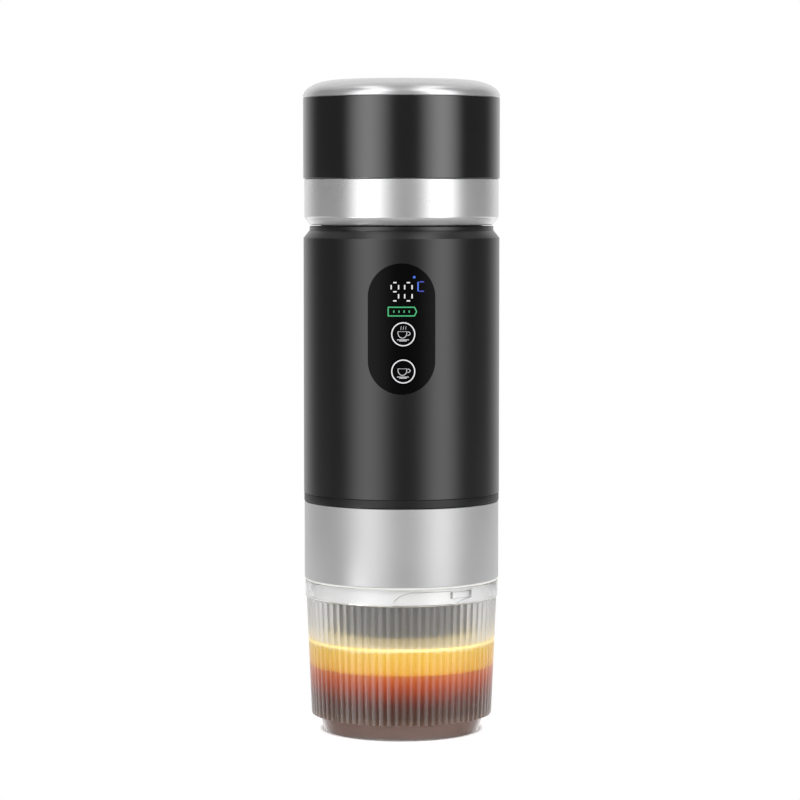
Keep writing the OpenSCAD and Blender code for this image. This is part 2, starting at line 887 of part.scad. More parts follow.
module head_screws() {
  color("silver") around(4, head_screw_pcr, 45) screw_down(head_screw, z_body - head_screw[2], head_screw_l);
}

screen_t = 0.8;
screen_gap = 0.5;
z_screen = z_head - screen_gap - screen_t;

module shower_screen() {
  screen_r = basket_ir;
  screen_edge = 2.5;
  screen_pitch = (screen_r - screen_edge) / (sieve_rings + 2);
  color("silver")
    difference() {
      disc(screen_r, z_screen, screen_t + screen_gap);
      disc(screen_r - 1, z_head - screen_gap, screen_gap + eps);
      disc(head_screw[0] + run_gap, z_screen - eps, screen_t + 2 * eps);
      for (k = [2:sieve_rings + 2])
        around(6 * k, screen_pitch * k) disc(sieve_hole_d / 2, z_screen - eps, screen_t + 2 * eps);
    }
}

module screen_screw() {
  screw_h = 0.6;
  color("silver")
    union() {
      disc(head_screw[1], z_screen - screw_h, screw_h);
      disc(head_screw[0], z_screen - eps / 2, screen_t + screen_gap + eps / 2 + (z_base - z_head) / 2 - 1);
    }
}

module brew_gasket() {
  color([0.3, 0.3, 0.3]) ring(basket_flange_r, basket_ir + part_gap, z_brew_gasket, brew_gasket_h);
}

module filter_basket() {
  color("silver")
    difference() {
      union() {
        disc(basket_r, z_basket - basket_wall, basket_h + basket_wall + eps / 2);
        disc(basket_flange_r, z_shelf, basket_wall);
      }
      disc(basket_ir, z_basket, basket_h + 2 * eps);
      sieve_holes(basket_ir / (sieve_rings + 1), z_basket - basket_wall - eps, basket_wall + 2 * eps);
    }
}

module skirt_screw_holes(z, h) {
  from_front(0) around(3, skirt_screw_pcr) disc(small_screw[0] + run_gap, z, h);
}

module chamber_shell() {
  color("silver")
    difference() {
      disc(sleeve_r, z_sleeve, sleeve_h - seam);
      disc(sleeve_r - sleeve_wall, z_core, sleeve_h);
      disc(nose_hole_r, z_sleeve - eps, sleeve_wall + 2 * eps);
      skirt_screw_holes(z_sleeve - eps, sleeve_wall + 2 * eps);
    }
}

nozzle_r = 3;

module chamber_core() {
  funnel = 2;
  color("dimgray")
    difference() {
      rotate_extrude()
        polygon([
          [nozzle_r + run_gap, z_web], [nose_r - nose_wall, z_web], [nose_r - nose_wall, z_nose],
          [nose_r - 0.6, z_nose], [nose_r, z_nose + 0.6], [nose_r, z_core], [core_r, z_core],
          [core_r, z_base - seam - part_gap], [socket_r, z_base - seam - part_gap], [socket_r, z_shelf],
          [well_r, z_shelf], [well_r, z_well], [nozzle_r + run_gap, z_well - funnel]
        ]);
      skirt_screw_holes(z_core - eps, skirt_screw_depth + eps);
    }
}

module outlet_nozzle() {
  color("silver")
    difference() {
      union() {
        disc(nozzle_r, z_web - eps, 4);
        disc(nozzle_r + 2, z_web - 2, 2);
        translate([0, 0, z_web - 5]) cylinder(r1 = nozzle_r - 1, r2 = nozzle_r, h = 3 + eps);
      }
      disc(outlet_bore / 2, z_nose - eps, 2 * nose_drop);
    }
}

// One bayonet track, starting at its mouth on the angle 0: its outline, cut square into the round skirt
module track() {
  middle = track_arc / 2;
  mouth_steps = 12;
  ramp_steps = 6;
  upper = concat([for (i = [0:mouth_steps]) track_mouth * i / mouth_steps], [track_arc]);
  ramp = [for (i = [0:ramp_steps]) track_arc - (track_arc - track_mouth) * i / ramp_steps];
  outline = concat(
    [for (a = upper) [skirt_r * sin(a - middle), track_upper(a)]],
    [for (a = concat(ramp, [0])) [skirt_r * sin(a - middle), track_lower(a)]]
  );
  intersection() {
    ring(skirt_r + 1, track_r, z_collar - 3 * track_dip, collar_h + 2 * track_dip);
    rotate(middle) translate([0, 0, z_collar]) rotate([90, 0, 90]) linear_extrude(body_r) polygon(outline);
  }
}

skirt_flange = 1.8;
skirt_screw_depth = 5;

module bayonet_skirt() {
  color("white")
    difference() {
      union() {
        ring(skirt_r, skirt_ir, z_collar, z_sleeve - z_collar);
        ring(skirt_ir + eps, nose_hole_r, z_sleeve - skirt_flange, skirt_flange);
      }
      for (i = [0:lug_count - 1])
        from_front(lug_angle - lug_arc / 2 - track_run - track_mouth + 360 * i / lug_count) track();
      skirt_screw_holes(z_sleeve - skirt_flange - eps, skirt_flange + 2 * eps);
    }
}

module skirt_screws() {
  z = z_sleeve - skirt_flange;
  color("silver")
    from_front(0)
      around(3, skirt_screw_pcr)
        union() {
          disc(small_screw[1], z - small_screw[2], small_screw[2]);
          disc(small_screw[0], z - eps / 2, skirt_flange + sleeve_wall + skirt_screw_depth - 1);
        }
}

module cup_seal() {
  color([0.2, 0.2, 0.2]) ring(sleeve_r - 0.4, skirt_r + part_gap, z_rim, cup_seal_h);
}

module cup() {
  z_floor = foot_recess + cup_floor;
  foot_top_r = foot_r + foot_taper;
  corner_r = 2;
  bevel_r = groove_foot_r - 0.2;
  floor_r = foot_r - cup_wall;
  color([0.9, 0.92, 0.93, 0.4])
    union() {
      difference() {
        union() {
          cylinder(r1 = foot_r, r2 = foot_top_r, h = foot_h);
          translate([0, 0, foot_h]) cylinder(r1 = foot_top_r, r2 = bevel_r, h = foot_bevel_h);
          translate([0, 0, z_reed])
            linear_extrude(reed_h, scale = reed_top_r / reed_foot_r)
              polygon(reed_outline(reed_foot_r, reed_depth));
          disc(collar_r, z_collar, collar_h);
        }
        rotate_extrude()
          polygon([
            [0, z_floor], [floor_r - corner_r, z_floor], [floor_r, z_floor + corner_r / 2],
            [groove_foot_r - cup_wall, z_reed + corner_r], [groove_top_r - cup_wall, z_collar - part_gap],
            [collar_ir, z_collar - part_gap], [collar_ir, z_rim + eps], [0, z_rim + eps]
          ]);
        translate([0, 0, -eps]) cylinder(r = foot_r - foot_ring_w, h = foot_recess + eps);
      }
      for (i = [0:lug_count - 1])
        from_front(lug_angle - lug_arc / 2 + 360 * i / lug_count)
          rotate_extrude(angle = lug_arc)
            translate([lug_ir, z_collar + lug_lift]) square([lug_depth + eps, lug_h]);
    }
}

cap_dome();
cap_band();
cap_ring();
cap_liner();
cap_gasket();
top_collar();
body_shell();
panel_lens();
heat_button();
brew_button();
display_module();
key_switches();
control_board();
board_screws();
water_tank();
tank_outlet();
heater_plate();
heater_insulator();
temperature_probe();
thermal_cutoff();
frame_plate();
inner_frame();
battery_left();
battery_right();
cell_contacts();
charge_board();
charge_port();
motor();
motor_shaft();
motor_pinion();
pump_gear();
pump_shaft();
gear_cover();
gear_case();
pump_head();
inlet_tube();
outlet_tube();
base_ring();
brew_head();
head_screws();
shower_screen();
screen_screw();
brew_gasket();
filter_basket();
chamber_shell();
chamber_core();
outlet_nozzle();
bayonet_skirt();
skirt_screws();
cup_seal();
cup();
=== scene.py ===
"""Looks of a portable electric espresso maker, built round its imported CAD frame.

The frame is in metres, +Z up, with the panel facing -Y. The sizes in the classes are millimetres.
"""

import json
import logging
import math
from dataclasses import dataclass
from enum import Enum
from typing import Any, Callable, Iterable, Sequence

import bpy
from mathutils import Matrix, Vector


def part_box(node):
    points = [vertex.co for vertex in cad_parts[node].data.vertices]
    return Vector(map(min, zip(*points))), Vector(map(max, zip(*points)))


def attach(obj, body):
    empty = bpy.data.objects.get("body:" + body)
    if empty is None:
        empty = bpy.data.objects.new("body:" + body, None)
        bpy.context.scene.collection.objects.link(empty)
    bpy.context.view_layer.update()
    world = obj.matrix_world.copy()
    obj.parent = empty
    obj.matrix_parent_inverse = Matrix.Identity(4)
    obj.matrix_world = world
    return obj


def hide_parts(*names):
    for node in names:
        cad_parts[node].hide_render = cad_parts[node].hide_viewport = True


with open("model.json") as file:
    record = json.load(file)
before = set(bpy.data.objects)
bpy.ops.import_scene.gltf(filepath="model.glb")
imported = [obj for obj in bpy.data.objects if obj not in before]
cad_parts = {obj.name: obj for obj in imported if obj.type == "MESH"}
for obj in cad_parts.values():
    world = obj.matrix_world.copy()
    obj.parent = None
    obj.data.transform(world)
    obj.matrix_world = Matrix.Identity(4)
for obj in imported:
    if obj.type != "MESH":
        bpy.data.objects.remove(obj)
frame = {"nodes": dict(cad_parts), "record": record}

Piece = bpy.types.Object
Material = bpy.types.Material
Finishes = dict[str, Material]
Colour = tuple[float, float, float]
Point = tuple[float, float]

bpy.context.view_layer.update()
MM = 0.001
SEGMENTS = 192  # sides of a turned piece
AXIS = 0.0004  # radius in millimetres that stands for the axis
HAIR = 0.01  # a gap in millimetres that is too small to see
PAST = 1.0  # how far a cutting tool reaches past a surface, in millimetres
SHARP = math.radians(40)  # edges bent more than this are sharp
STRAIGHT = math.radians(172)  # corners of a profile that are opener than this stay as they are
LOG = logging.getLogger("espresso_maker")


def srgb(red: int, green: int, blue: int) -> Colour:
    """Turns a screen colour into the linear one that a shader takes.

    Args:
        red, green, blue: the screen colour, 0 to 255 each.

    Returns:
        The linear colour.
    """
    def linear(value: int) -> float:
        """The linear level of one channel."""
        share = value / 255
        return share / 12.92 if share <= 0.04045 else ((share + 0.055) / 1.055) ** 2.4

    return linear(red), linear(green), linear(blue)


class Level:
    """A shader socket that adds a Math node for each operator that it meets."""

    def __init__(self, shader: "Shader", socket: bpy.types.NodeSocket) -> None:
        """Keeps the socket and the node tree that it is in."""
        self.shader = shader
        self.socket = socket

    def _math(self, operation: str, *terms: Any) -> "Level":
        """The result of a Math node on these terms."""
        return self.shader.node("ShaderNodeMath", {"operation": operation}, dict(enumerate(terms)))

    def __add__(self, other: Any) -> "Level":
        """This level plus another."""
        return self._math("ADD", self, other)

    __radd__ = __add__

    def __sub__(self, other: Any) -> "Level":
        """This level less another."""
        return self._math("SUBTRACT", self, other)

    def __rsub__(self, other: Any) -> "Level":
        """Another level less this one."""
        return self._math("SUBTRACT", other, self)

    def __mul__(self, other: Any) -> "Level":
        """This level times another."""
        return self._math("MULTIPLY", self, other)

    __rmul__ = __mul__

    def __truediv__(self, other: Any) -> "Level":
        """This level as a share of another."""
        return self._math("DIVIDE", self, other)

    def high(self, other: Any) -> "Level":
        """The higher of this level and another."""
        return self._math("MAXIMUM", self, other)

    def step(self, low: float, high: float) -> "Level":
        """A smooth step from 0 at the low level to 1 at the high one."""
        inputs = {"Value": self, "From Min": low, "From Max": high}
        return self.shader.node("ShaderNodeMapRange", {"interpolation_type": "SMOOTHSTEP"}, inputs)


class Shader:
    """A node tree with one way to add a node."""

    def __init__(self, owner: Material | bpy.types.World | bpy.types.Light) -> None:
        """Clears the owner's node tree.

        Args:
            owner: the material, world or lamp that the tree belongs to.
        """
        owner.use_nodes = True
        self.owner = owner
        self.tree = owner.node_tree
        self.tree.nodes.clear()

    def node(
        self, kind: str, settings: dict[str, Any] | None = None, inputs: dict[Any, Any] | None = None,
        output: int | str = 0,
    ) -> Level:
        """Adds a node.

        Args:
            kind: the node's type.
            settings: the node's own settings; "stops" holds the places and colours of a ramp.
            inputs: a value or a level for each socket that isn't left as it is.
            output: the output that is wanted.

        Returns:
            That output as a level.
        """
        node = self.tree.nodes.new(kind)
        for key, value in (settings or {}).items():
            if key == "stops":
                ramp = node.color_ramp.elements
                while len(ramp) < len(value):
                    ramp.new(1.0)
                for element, (place, colour) in zip(ramp, value):
                    element.position = place
                    element.color = (*colour, 1.0)
            else:
                setattr(node, key, value)
        for key, value in (inputs or {}).items():
            socket = node.inputs[key]
            if isinstance(value, Level):
                self.tree.links.new(value.socket, socket)
            elif socket.type == "RGBA" and len(value) == 3:
                socket.default_value = (*value, 1.0)
            else:
                socket.default_value = value
        return Level(self, node.outputs[output])

    def place(self, name: str = "Object") -> Level:
        """The coordinates that a pattern lies on."""
        return self.node("ShaderNodeTexCoord", output=name)

    def axes(self, place: Level) -> tuple[Level, Level, Level]:
        """The three parts of a vector."""
        split = self.node("ShaderNodeSeparateXYZ", inputs={0: place}).socket.node
        return tuple(Level(self, socket) for socket in split.outputs)

    def noise(self, place: Level, size: float, detail: float = 3.0, stretch: Sequence[float] = (1, 1, 1)) -> Level:
        """A noise pattern from 0 to 1.

        Args:
            place: the coordinates that it lies on.
            size: the size of its spots in millimetres.
            detail: how many finer layers it has.
            stretch: how many times finer it is along each axis.

        Returns:
            The pattern.
        """
        scaled = self.node("ShaderNodeVectorMath", {"operation": "MULTIPLY"}, {0: place, 1: tuple(stretch)})
        return self.node("ShaderNodeTexNoise", inputs={"Vector": scaled, "Scale": 1 / (size * MM), "Detail": detail})

    def mix(self, share: Any, first: Any, second: Any) -> Level:
        """A colour between two others, by a share from 0 to 1."""
        return self.node("ShaderNodeMix", {"data_type": "RGBA"}, {0: share, 6: first, 7: second}, output=2)

    def bump(self, height: Level, depth: float) -> Level:
        """Normals that a height pattern of this depth in millimetres would give."""
        return self.node("ShaderNodeBump", inputs={"Height": height, "Distance": depth * MM, "Strength": 1.0})

    def surface(self, inputs: dict[str, Any]) -> Level:
        """A Principled shader with these inputs."""
        return self.node("ShaderNodeBsdfPrincipled", inputs=inputs)

    def done(self, surface: Level) -> Any:
        """Puts the surface out.

        Args:
            surface: what the owner shows or shines.

        Returns:
            The material, world or lamp.
        """
        kinds = {bpy.types.World: "World", bpy.types.Light: "Light", Material: "Material"}
        kind = next(name for owner, name in kinds.items() if isinstance(self.owner, owner))
        node = self.tree.nodes.new(f"ShaderNodeOutput{kind}")
        self.tree.links.new(surface.socket, node.inputs["Surface"])
        return self.owner


@dataclass(frozen=True)
class Finish:
    """A moulded or metal finish with a fine grain and a faint mottle.

    Attributes:
        name: the material's name.
        colour: its linear colour.
        roughness: how dull it is, 0 to 1.
        metallic: 1 for metal.
        specular: how strongly a plastic shines.
        mottle: share by which the colour changes over the piece.
        cloud: size of that change in millimetres.
        wear: change of roughness over the piece.
        grain: depth of the grain in millimetres.
        grain_size: size of the grain in millimetres.
        turned: how many times finer the grain is along the axis, as on turned metal.
    """

    name: str
    colour: Colour
    roughness: float
    metallic: float = 0.0
    specular: float = 0.5
    mottle: float = 0.08
    cloud: float = 16.0
    wear: float = 0.06
    grain: float = 0.004
    grain_size: float = 0.35
    turned: float = 1.0

    def material(self) -> Material:
        """Builds the finish's material.

        Returns:
            The material.
        """
        shader = Shader(bpy.data.materials.new(self.name))
        place = shader.place()
        cloud = shader.noise(place, self.cloud)
        grain = shader.noise(place, self.grain_size, detail=2.0, stretch=(1, 1, self.turned))
        deep = tuple(channel * (1 - self.mottle) for channel in self.colour)
        pale = tuple(min(1.0, channel * (1 + self.mottle)) for channel in self.colour)
        speck = 0.6 * cloud + 0.4 * grain
        return shader.done(shader.surface({
            "Base Color": shader.mix(speck, deep, pale),
            "Roughness": self.roughness + self.wear * (speck - 0.5),
            "Metallic": self.metallic,
            "Specular IOR Level": self.specular,
            "Normal": shader.bump(grain, self.grain),
        }))


@dataclass(frozen=True)
class ClearPlastic:
    """A clear moulded plastic that lamps shine through.

    Attributes:
        name: the material's name.
        tint: its linear colour.
        roughness: how dull its polished collar is.
        reeded: how dull its reeds are.
        collar: height in millimetres where the collar starts.
        polish: height over which the reeds' dullness ends below it.
        gloss: how strongly its skin shines, 0 to 1.
        skin: how dull that skin is.
        flow: size of the flow lines in millimetres, and the roughness that they add.
        ior: how strongly it bends light.
    """

    name: str
    tint: Colour
    roughness: float
    reeded: float
    collar: float
    gloss: float
    polish: float = 0.6
    skin: float = 0.22
    flow: Point = (9.0, 0.03)
    ior: float = 1.47

    def material(self) -> Material:
        """Builds the material, with clear shade for lamps so that the contents are lit.

        Returns:
            The material.
        """
        shader = Shader(bpy.data.materials.new(self.name))
        place = shader.place()
        size, haze = self.flow
        flow = shader.noise(place, size, detail=2.0, stretch=(1, 1, 0.15))
        polished = (shader.axes(place)[2] / MM).step(self.collar - self.polish, self.collar)
        plastic = shader.surface({
            "Base Color": shader.mix(flow, tuple(0.96 * channel for channel in self.tint), self.tint),
            "Roughness": self.reeded + (self.roughness - self.reeded) * polished + haze * flow,
            "IOR": self.ior,
            "Transmission Weight": 1.0,
            "Coat Weight": self.gloss,
            "Coat Roughness": self.skin,
        })
        lamp = shader.node("ShaderNodeLightPath", output="Is Shadow Ray")
        clear = shader.node("ShaderNodeBsdfTransparent", inputs={"Color": self.tint})
        return shader.done(shader.node("ShaderNodeMixShader", inputs={0: lamp, 1: plastic, 2: clear}))


@dataclass(frozen=True)
class Brew:
    """A drink whose colour changes with its height, with a painted glow.

    Attributes:
        name: the material's name.
        low: height in millimetres where the first stop lies.
        high: height in millimetres where the last stop lies.
        stops: places from 0 to 1 between those heights, and their linear colours.
        roughness: how dull the surface is.
        painted_glow: painted light, emission that stands in for light soaking through the drink, as a share of its
            colour.
        painted_top_glow: the same painted light at its top, which brightens a top that lies in shade.
        froth: depth of the bubbles in millimetres.
        bubble: size of the bubbles in millimetres.
        swirl: size of the swirls in millimetres, and how far they carry a colour up or down.
        skin: depths below its top, in millimetres, between which the painted top light sets in.
        sheen: how much paler it is at its edge, where less of it is looked through, and how far in.
        edge: the linear colour that it takes on there.
    """

    name: str
    low: float
    high: float
    stops: tuple[tuple[float, Colour], ...]
    roughness: float
    painted_glow: float
    painted_top_glow: float
    froth: float
    bubble: float = 0.7
    swirl: Point = (7.0, 2.2)
    skin: Point = (1.0, 0.6)
    sheen: Point = (0.45, 0.6)
    edge: Colour = (1.0, 0.84, 0.74)

    def material(self) -> Material:
        """Builds the drink's material.

        Returns:
            The material.
        """
        shader = Shader(bpy.data.materials.new(self.name))
        place = shader.place()
        height = shader.axes(place)[2]
        size, carry = self.swirl
        swirl = shader.noise(place, size, detail=4.0, stretch=(1, 1, 1.6))
        bubbles = shader.node("ShaderNodeTexVoronoi", inputs={"Vector": place, "Scale": 1 / (self.bubble * MM)})
        share = (height / MM - self.low + carry * (swirl - 0.5)) / (self.high - self.low)
        colour = shader.node("ShaderNodeValToRGB", {"stops": self.stops}, {0: share})
        top = (height / MM).step(*(self.high - depth for depth in self.skin))
        # painted glow: emission from the drink's own colour, stronger at its top
        painted_glow = self.painted_glow + (self.painted_top_glow - self.painted_glow) * top
        return shader.done(shader.surface({
            "Base Color": colour,
            "Roughness": self.roughness + 0.1 * swirl,
            "Specular IOR Level": 0.0,
            "Sheen Weight": self.sheen[0],
            "Sheen Roughness": self.sheen[1],
            "Sheen Tint": self.edge,
            "Emission Color": shader.mix(painted_glow, (0, 0, 0), colour),
            "Emission Strength": 1.0,
            "Normal": shader.bump(bubbles, self.froth),
        }))


@dataclass(frozen=True)
class Light:
    """A lit sign behind a dark window.

    Attributes:
        name: the material's name.
        colour: its linear colour when lit.
        dim: share of that colour where it is dimmest.
        unlit: share of it that is left with no light in it.
    """

    name: str
    colour: Colour
    dim: float = 0.8
    unlit: float = 0.1

    def material(self) -> Material:
        """Builds the sign's material, a little uneven as a lit segment is.

        Returns:
            The material.
        """
        shader = Shader(bpy.data.materials.new(self.name))
        spots = shader.noise(shader.place(), 0.8, detail=1.0)
        dim, unlit = (tuple(share * channel for channel in self.colour) for share in (self.dim, self.unlit))
        return shader.done(shader.surface({
            "Base Color": shader.mix(spots, (0.01, 0.01, 0.01), unlit),
            "Roughness": 0.4 + 0.1 * spots,
            "Emission Color": shader.mix(spots, dim, self.colour),
            "Emission Strength": 1.0,
        }))


def take(piece: Piece | None = None) -> None:
    """Leaves edit mode and selects one piece alone, or nothing.

    Args:
        piece: the piece to select.
    """
    if bpy.context.object and bpy.context.object.mode != "OBJECT":
        bpy.ops.object.mode_set(mode="OBJECT")
    bpy.ops.object.select_all(action="DESELECT")
    if piece:
        piece.select_set(True)
        bpy.context.view_layer.objects.active = piece


def settle(name: str) -> Piece:
    """Names the new object and puts its place into its mesh.

    Args:
        name: the name for the object and its mesh.

    Returns:
        The object.
    """
    piece = bpy.context.object
    piece.name = piece.data.name = name
    bpy.ops.object.transform_apply(location=True, rotation=True, scale=True)
    return piece


def edit(piece: Piece) -> None:
    """Goes into edit mode with the whole of one piece selected.

    Args:
        piece: the piece to edit.
    """
    take(piece)
    bpy.ops.object.mode_set(mode="EDIT")
    bpy.ops.mesh.select_all(action="SELECT")


def close_up(piece: Piece) -> None:
    """Merges a mesh's doubled points and turns its faces outwards.

    Args:
        piece: the piece to close.
    """
    edit(piece)
    bpy.ops.mesh.remove_doubles(threshold=0.1 * HAIR * MM)
    bpy.ops.mesh.normals_make_consistent(inside=False)
    bpy.ops.object.mode_set(mode="OBJECT")


def pick(piece: Piece, test: Callable[[Vector], bool]) -> None:
    """Goes into edit mode with only those points selected whose place passes a test.

    Args:
        piece: the piece to edit.
        test: takes a point's place in millimetres.
    """
    take(piece)
    bpy.ops.object.mode_set(mode="EDIT")
    bpy.ops.mesh.select_mode(type="VERT")
    bpy.ops.mesh.select_all(action="DESELECT")
    bpy.ops.object.mode_set(mode="OBJECT")
    for vertex in piece.data.vertices:
        vertex.select = test(vertex.co / MM)
    bpy.ops.object.mode_set(mode="EDIT")


def fillet(profile: Sequence[Point], radius: float, steps: int = 4, closed: bool = True) -> list[Point]:
    """Rounds the corners of a profile.

    Args:
        profile: its corners, as radius and height.
        radius: the radius of the rounding; short sides get less.
        steps: how many edges one rounded corner has.
        closed: False if the two end points stay as they are.

    Returns:
        The rounded profile; corners on the axis stay sharp.
    """
    points: list[Point] = []
    for index, here in enumerate(profile):
        corner = Vector(here)
        sides = [Vector(profile[index - 1]) - corner, Vector(profile[(index + 1) % len(profile)]) - corner]
        bend = sides[0].angle(sides[1], math.pi)
        end = not closed and index in (0, len(profile) - 1)
        if end or corner.x <= AXIS or bend > STRAIGHT:
            points.append(here)
            continue
        side_share = 0.45
        reach = min(radius / math.tan(bend / 2), *(side_share * side.length for side in sides))
        first, last = (corner + reach * side.normalized() for side in sides)
        for step in range(steps + 1):
            share = step / steps
            arc = first.lerp(corner, share).lerp(corner.lerp(last, share), share)
            points.append((arc.x, arc.y))
    return points


def turned(name: str, profile: Sequence[Point], segments: int = SEGMENTS) -> Piece:
    """Turns a closed profile round the axis.

    Args:
        name: the piece's name.
        profile: its points, as radius and height; one that crosses the axis starts and ends on it.
        segments: how many sides the round has.

    Returns:
        The turned piece.
    """
    take()
    points = [(max(radius, AXIS), height) for radius, height in profile]
    if points[0][0] > AXIS:
        points.append(points[0])
    radius, height = points[0]
    bpy.ops.mesh.primitive_circle_add(
        vertices=segments, radius=radius * MM, location=(0, 0, height * MM), rotation=(0, 0, -math.pi / 2)
    )
    piece = settle(name)
    edit(piece)
    for next_radius, next_height in points[1:]:
        bpy.ops.mesh.extrude_edges_move(TRANSFORM_OT_translate={"value": (0, 0, (next_height - height) * MM)})
        share = next_radius / radius
        bpy.ops.transform.resize(value=(share, share, 1))
        radius, height = next_radius, next_height
    close_up(piece)
    return piece


def ring(outer: float, inner: float, low: float, high: float) -> list[Point]:
    """The profile of a plain ring between two radii and two heights."""
    return [(inner, low), (outer, low), (outer, high), (inner, high)]


def disc(radius: float, low: float, high: float) -> list[Point]:
    """The profile of a plain disc between two heights."""
    return [(0, low), (radius, low), (radius, high), (0, high)]


def smooth(piece: Piece, angle: float = 32.0) -> Piece:
    """Smooths a piece, apart from its sharp edges.

    Args:
        piece: the piece to smooth.
        angle: edges bent more than this many degrees stay sharp.

    Returns:
        The piece.
    """
    take(piece)
    bpy.ops.object.shade_smooth_by_angle(angle=math.radians(angle))
    return piece


def lathe(name: str, profile: Sequence[Point], radius: float, steps: int = 4) -> Piece:
    """Turns a piece whose profile has rounded corners, and smooths it.

    Args:
        name: the piece's name.
        profile: its corners, as radius and height.
        radius: the radius of the rounding.
        steps: how many edges one rounded corner has.

    Returns:
        The piece.
    """
    return smooth(turned(name, fillet(profile, radius, steps)))


def soften(piece: Piece, width: float) -> Piece:
    """Rounds a piece's sharp edges with a bevel.

    Args:
        piece: the piece to round.
        width: width of the bevel in millimetres.

    Returns:
        The piece, smoothed.
    """
    take(piece)
    bpy.ops.object.modifier_add(type="BEVEL")
    bevel = piece.modifiers[-1]
    bevel.width = width * MM
    bevel.segments = 3
    bevel.limit_method = "ANGLE"
    bevel.angle_limit = SHARP
    bpy.ops.object.modifier_apply(modifier=bevel.name)
    return smooth(piece)


class Shape(Enum):
    """How a tool meets a piece."""

    CUT = "DIFFERENCE"
    JOIN = "UNION"
    TRIM = "INTERSECT"


def shape(piece: Piece, tool: Piece, how: Shape) -> Piece:
    """Cuts, joins or trims a piece with a tool, which is used up.

    Args:
        piece: the piece to change.
        tool: the closed mesh that changes it.
        how: the way the two meet.

    Returns:
        The changed piece.
    """
    take(piece)
    bpy.ops.object.modifier_add(type="BOOLEAN")
    boolean = piece.modifiers[-1]
    boolean.operation = how.value
    boolean.solver = "EXACT"
    boolean.object = tool
    bpy.ops.object.modifier_apply(modifier=boolean.name)
    bpy.data.objects.remove(tool)
    close_up(piece)
    return piece


def joined(name: str, pieces: Iterable[Piece]) -> Piece:
    """Joins several meshes into one piece.

    Args:
        name: the piece's name.
        pieces: its meshes, which are used up.

    Returns:
        The piece.
    """
    pieces = list(pieces)
    take(pieces[0])
    for piece in pieces:
        piece.select_set(True)
    bpy.ops.object.join()
    return settle(name)


def true_round(piece: Piece, radius: float) -> Piece:
    """Gives the faces on a round wall the wall's own normals, so that cuts in it don't show as facets.

    Args:
        piece: the piece with the wall.
        radius: the wall's radius in millimetres.

    Returns:
        The piece.
    """
    mesh, facing_out = piece.data, 0.97
    normals = [Vector((0, 0, 0))] * len(mesh.loops)
    for face in mesh.polygons:
        for loop in face.loop_indices:
            out = mesh.vertices[mesh.loops[loop].vertex_index].co * Vector((1, 1, 0))
            on_wall = abs(out.length - radius * MM) < 2 * HAIR * MM
            if on_wall and face.normal.dot(out.normalized()) > facing_out:
                normals[loop] = out.normalized()
    mesh.normals_split_custom_set(normals)
    return piece


def dress(
    piece: Piece, body: str, slot: str, material: Material, *nodes: str
) -> Piece:
    """Gives a piece its material and its body, and hides the CAD nodes that it stands for.

    Args:
        piece: the finished piece.
        body: the CAD body that it moves with.
        slot: the record's material slot; not used.
        material: its material.
        nodes: the CAD nodes that it replaces.

    Returns:
        The piece.
    """
    if not piece.data.materials:
        piece.data.materials.append(None)
    piece.data.materials[0] = material
    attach(piece, body)
    if nodes:
        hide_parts(*nodes)
    LOG.info("%s on %s: %d faces", piece.name, body, len(piece.data.polygons))
    return piece


@dataclass(frozen=True)
class Span:
    """Where a round CAD node lies, in millimetres.

    Attributes:
        low: its lowest level.
        high: its highest level.
        radius: its largest radius.
    """

    low: float
    high: float
    radius: float

    @property
    def middle(self) -> float:
        """The level halfway up."""
        return (self.low + self.high) / 2

    @classmethod
    def of(cls, node: str) -> "Span":
        """The span of a CAD node at rest."""
        low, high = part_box(node)
        return cls(low.z / MM, high.z / MM, high.x / MM)


def thread(name: str, root: float, crest: float, low: float, lead: float, turns: int) -> Piece:
    """Winds one ridge of a screw thread round the axis.

    Args:
        name: the ridge's name.
        root: radius of the wall that it stands on.
        crest: radius of its crest.
        low: height where it starts.
        lead: rise over one turn.
        turns: how many turns it has.

    Returns:
        The closed ridge.
    """
    sunk, base, crest_share = 0.3, 0.42 * lead, 0.4
    take()
    bpy.ops.mesh.primitive_plane_add(size=1, rotation=(math.pi / 2, 0, 0))
    ridge = settle(name)
    edit(ridge)
    bpy.ops.transform.resize(value=((crest - root + sunk) * MM, 1, base * MM))
    bpy.ops.transform.translate(value=((crest + root - sunk) / 2 * MM, 0, (low + base / 2) * MM))
    pick(ridge, lambda place: abs(place.x - crest) < HAIR)
    bpy.ops.transform.resize(value=(1, 1, crest_share))
    bpy.ops.mesh.select_all(action="SELECT")
    bpy.ops.mesh.delete(type="ONLY_FACE")
    bpy.ops.object.mode_set(mode="OBJECT")
    bpy.ops.object.modifier_add(type="SCREW")
    screw = ridge.modifiers[-1]
    screw.axis = "Z"
    screw.screw_offset = lead * MM
    screw.iterations = turns
    screw.steps = screw.render_steps = SEGMENTS // 2
    bpy.ops.object.modifier_apply(modifier=screw.name)
    edit(ridge)
    bpy.ops.mesh.fill_holes(sides=4)
    close_up(ridge)
    return smooth(ridge)


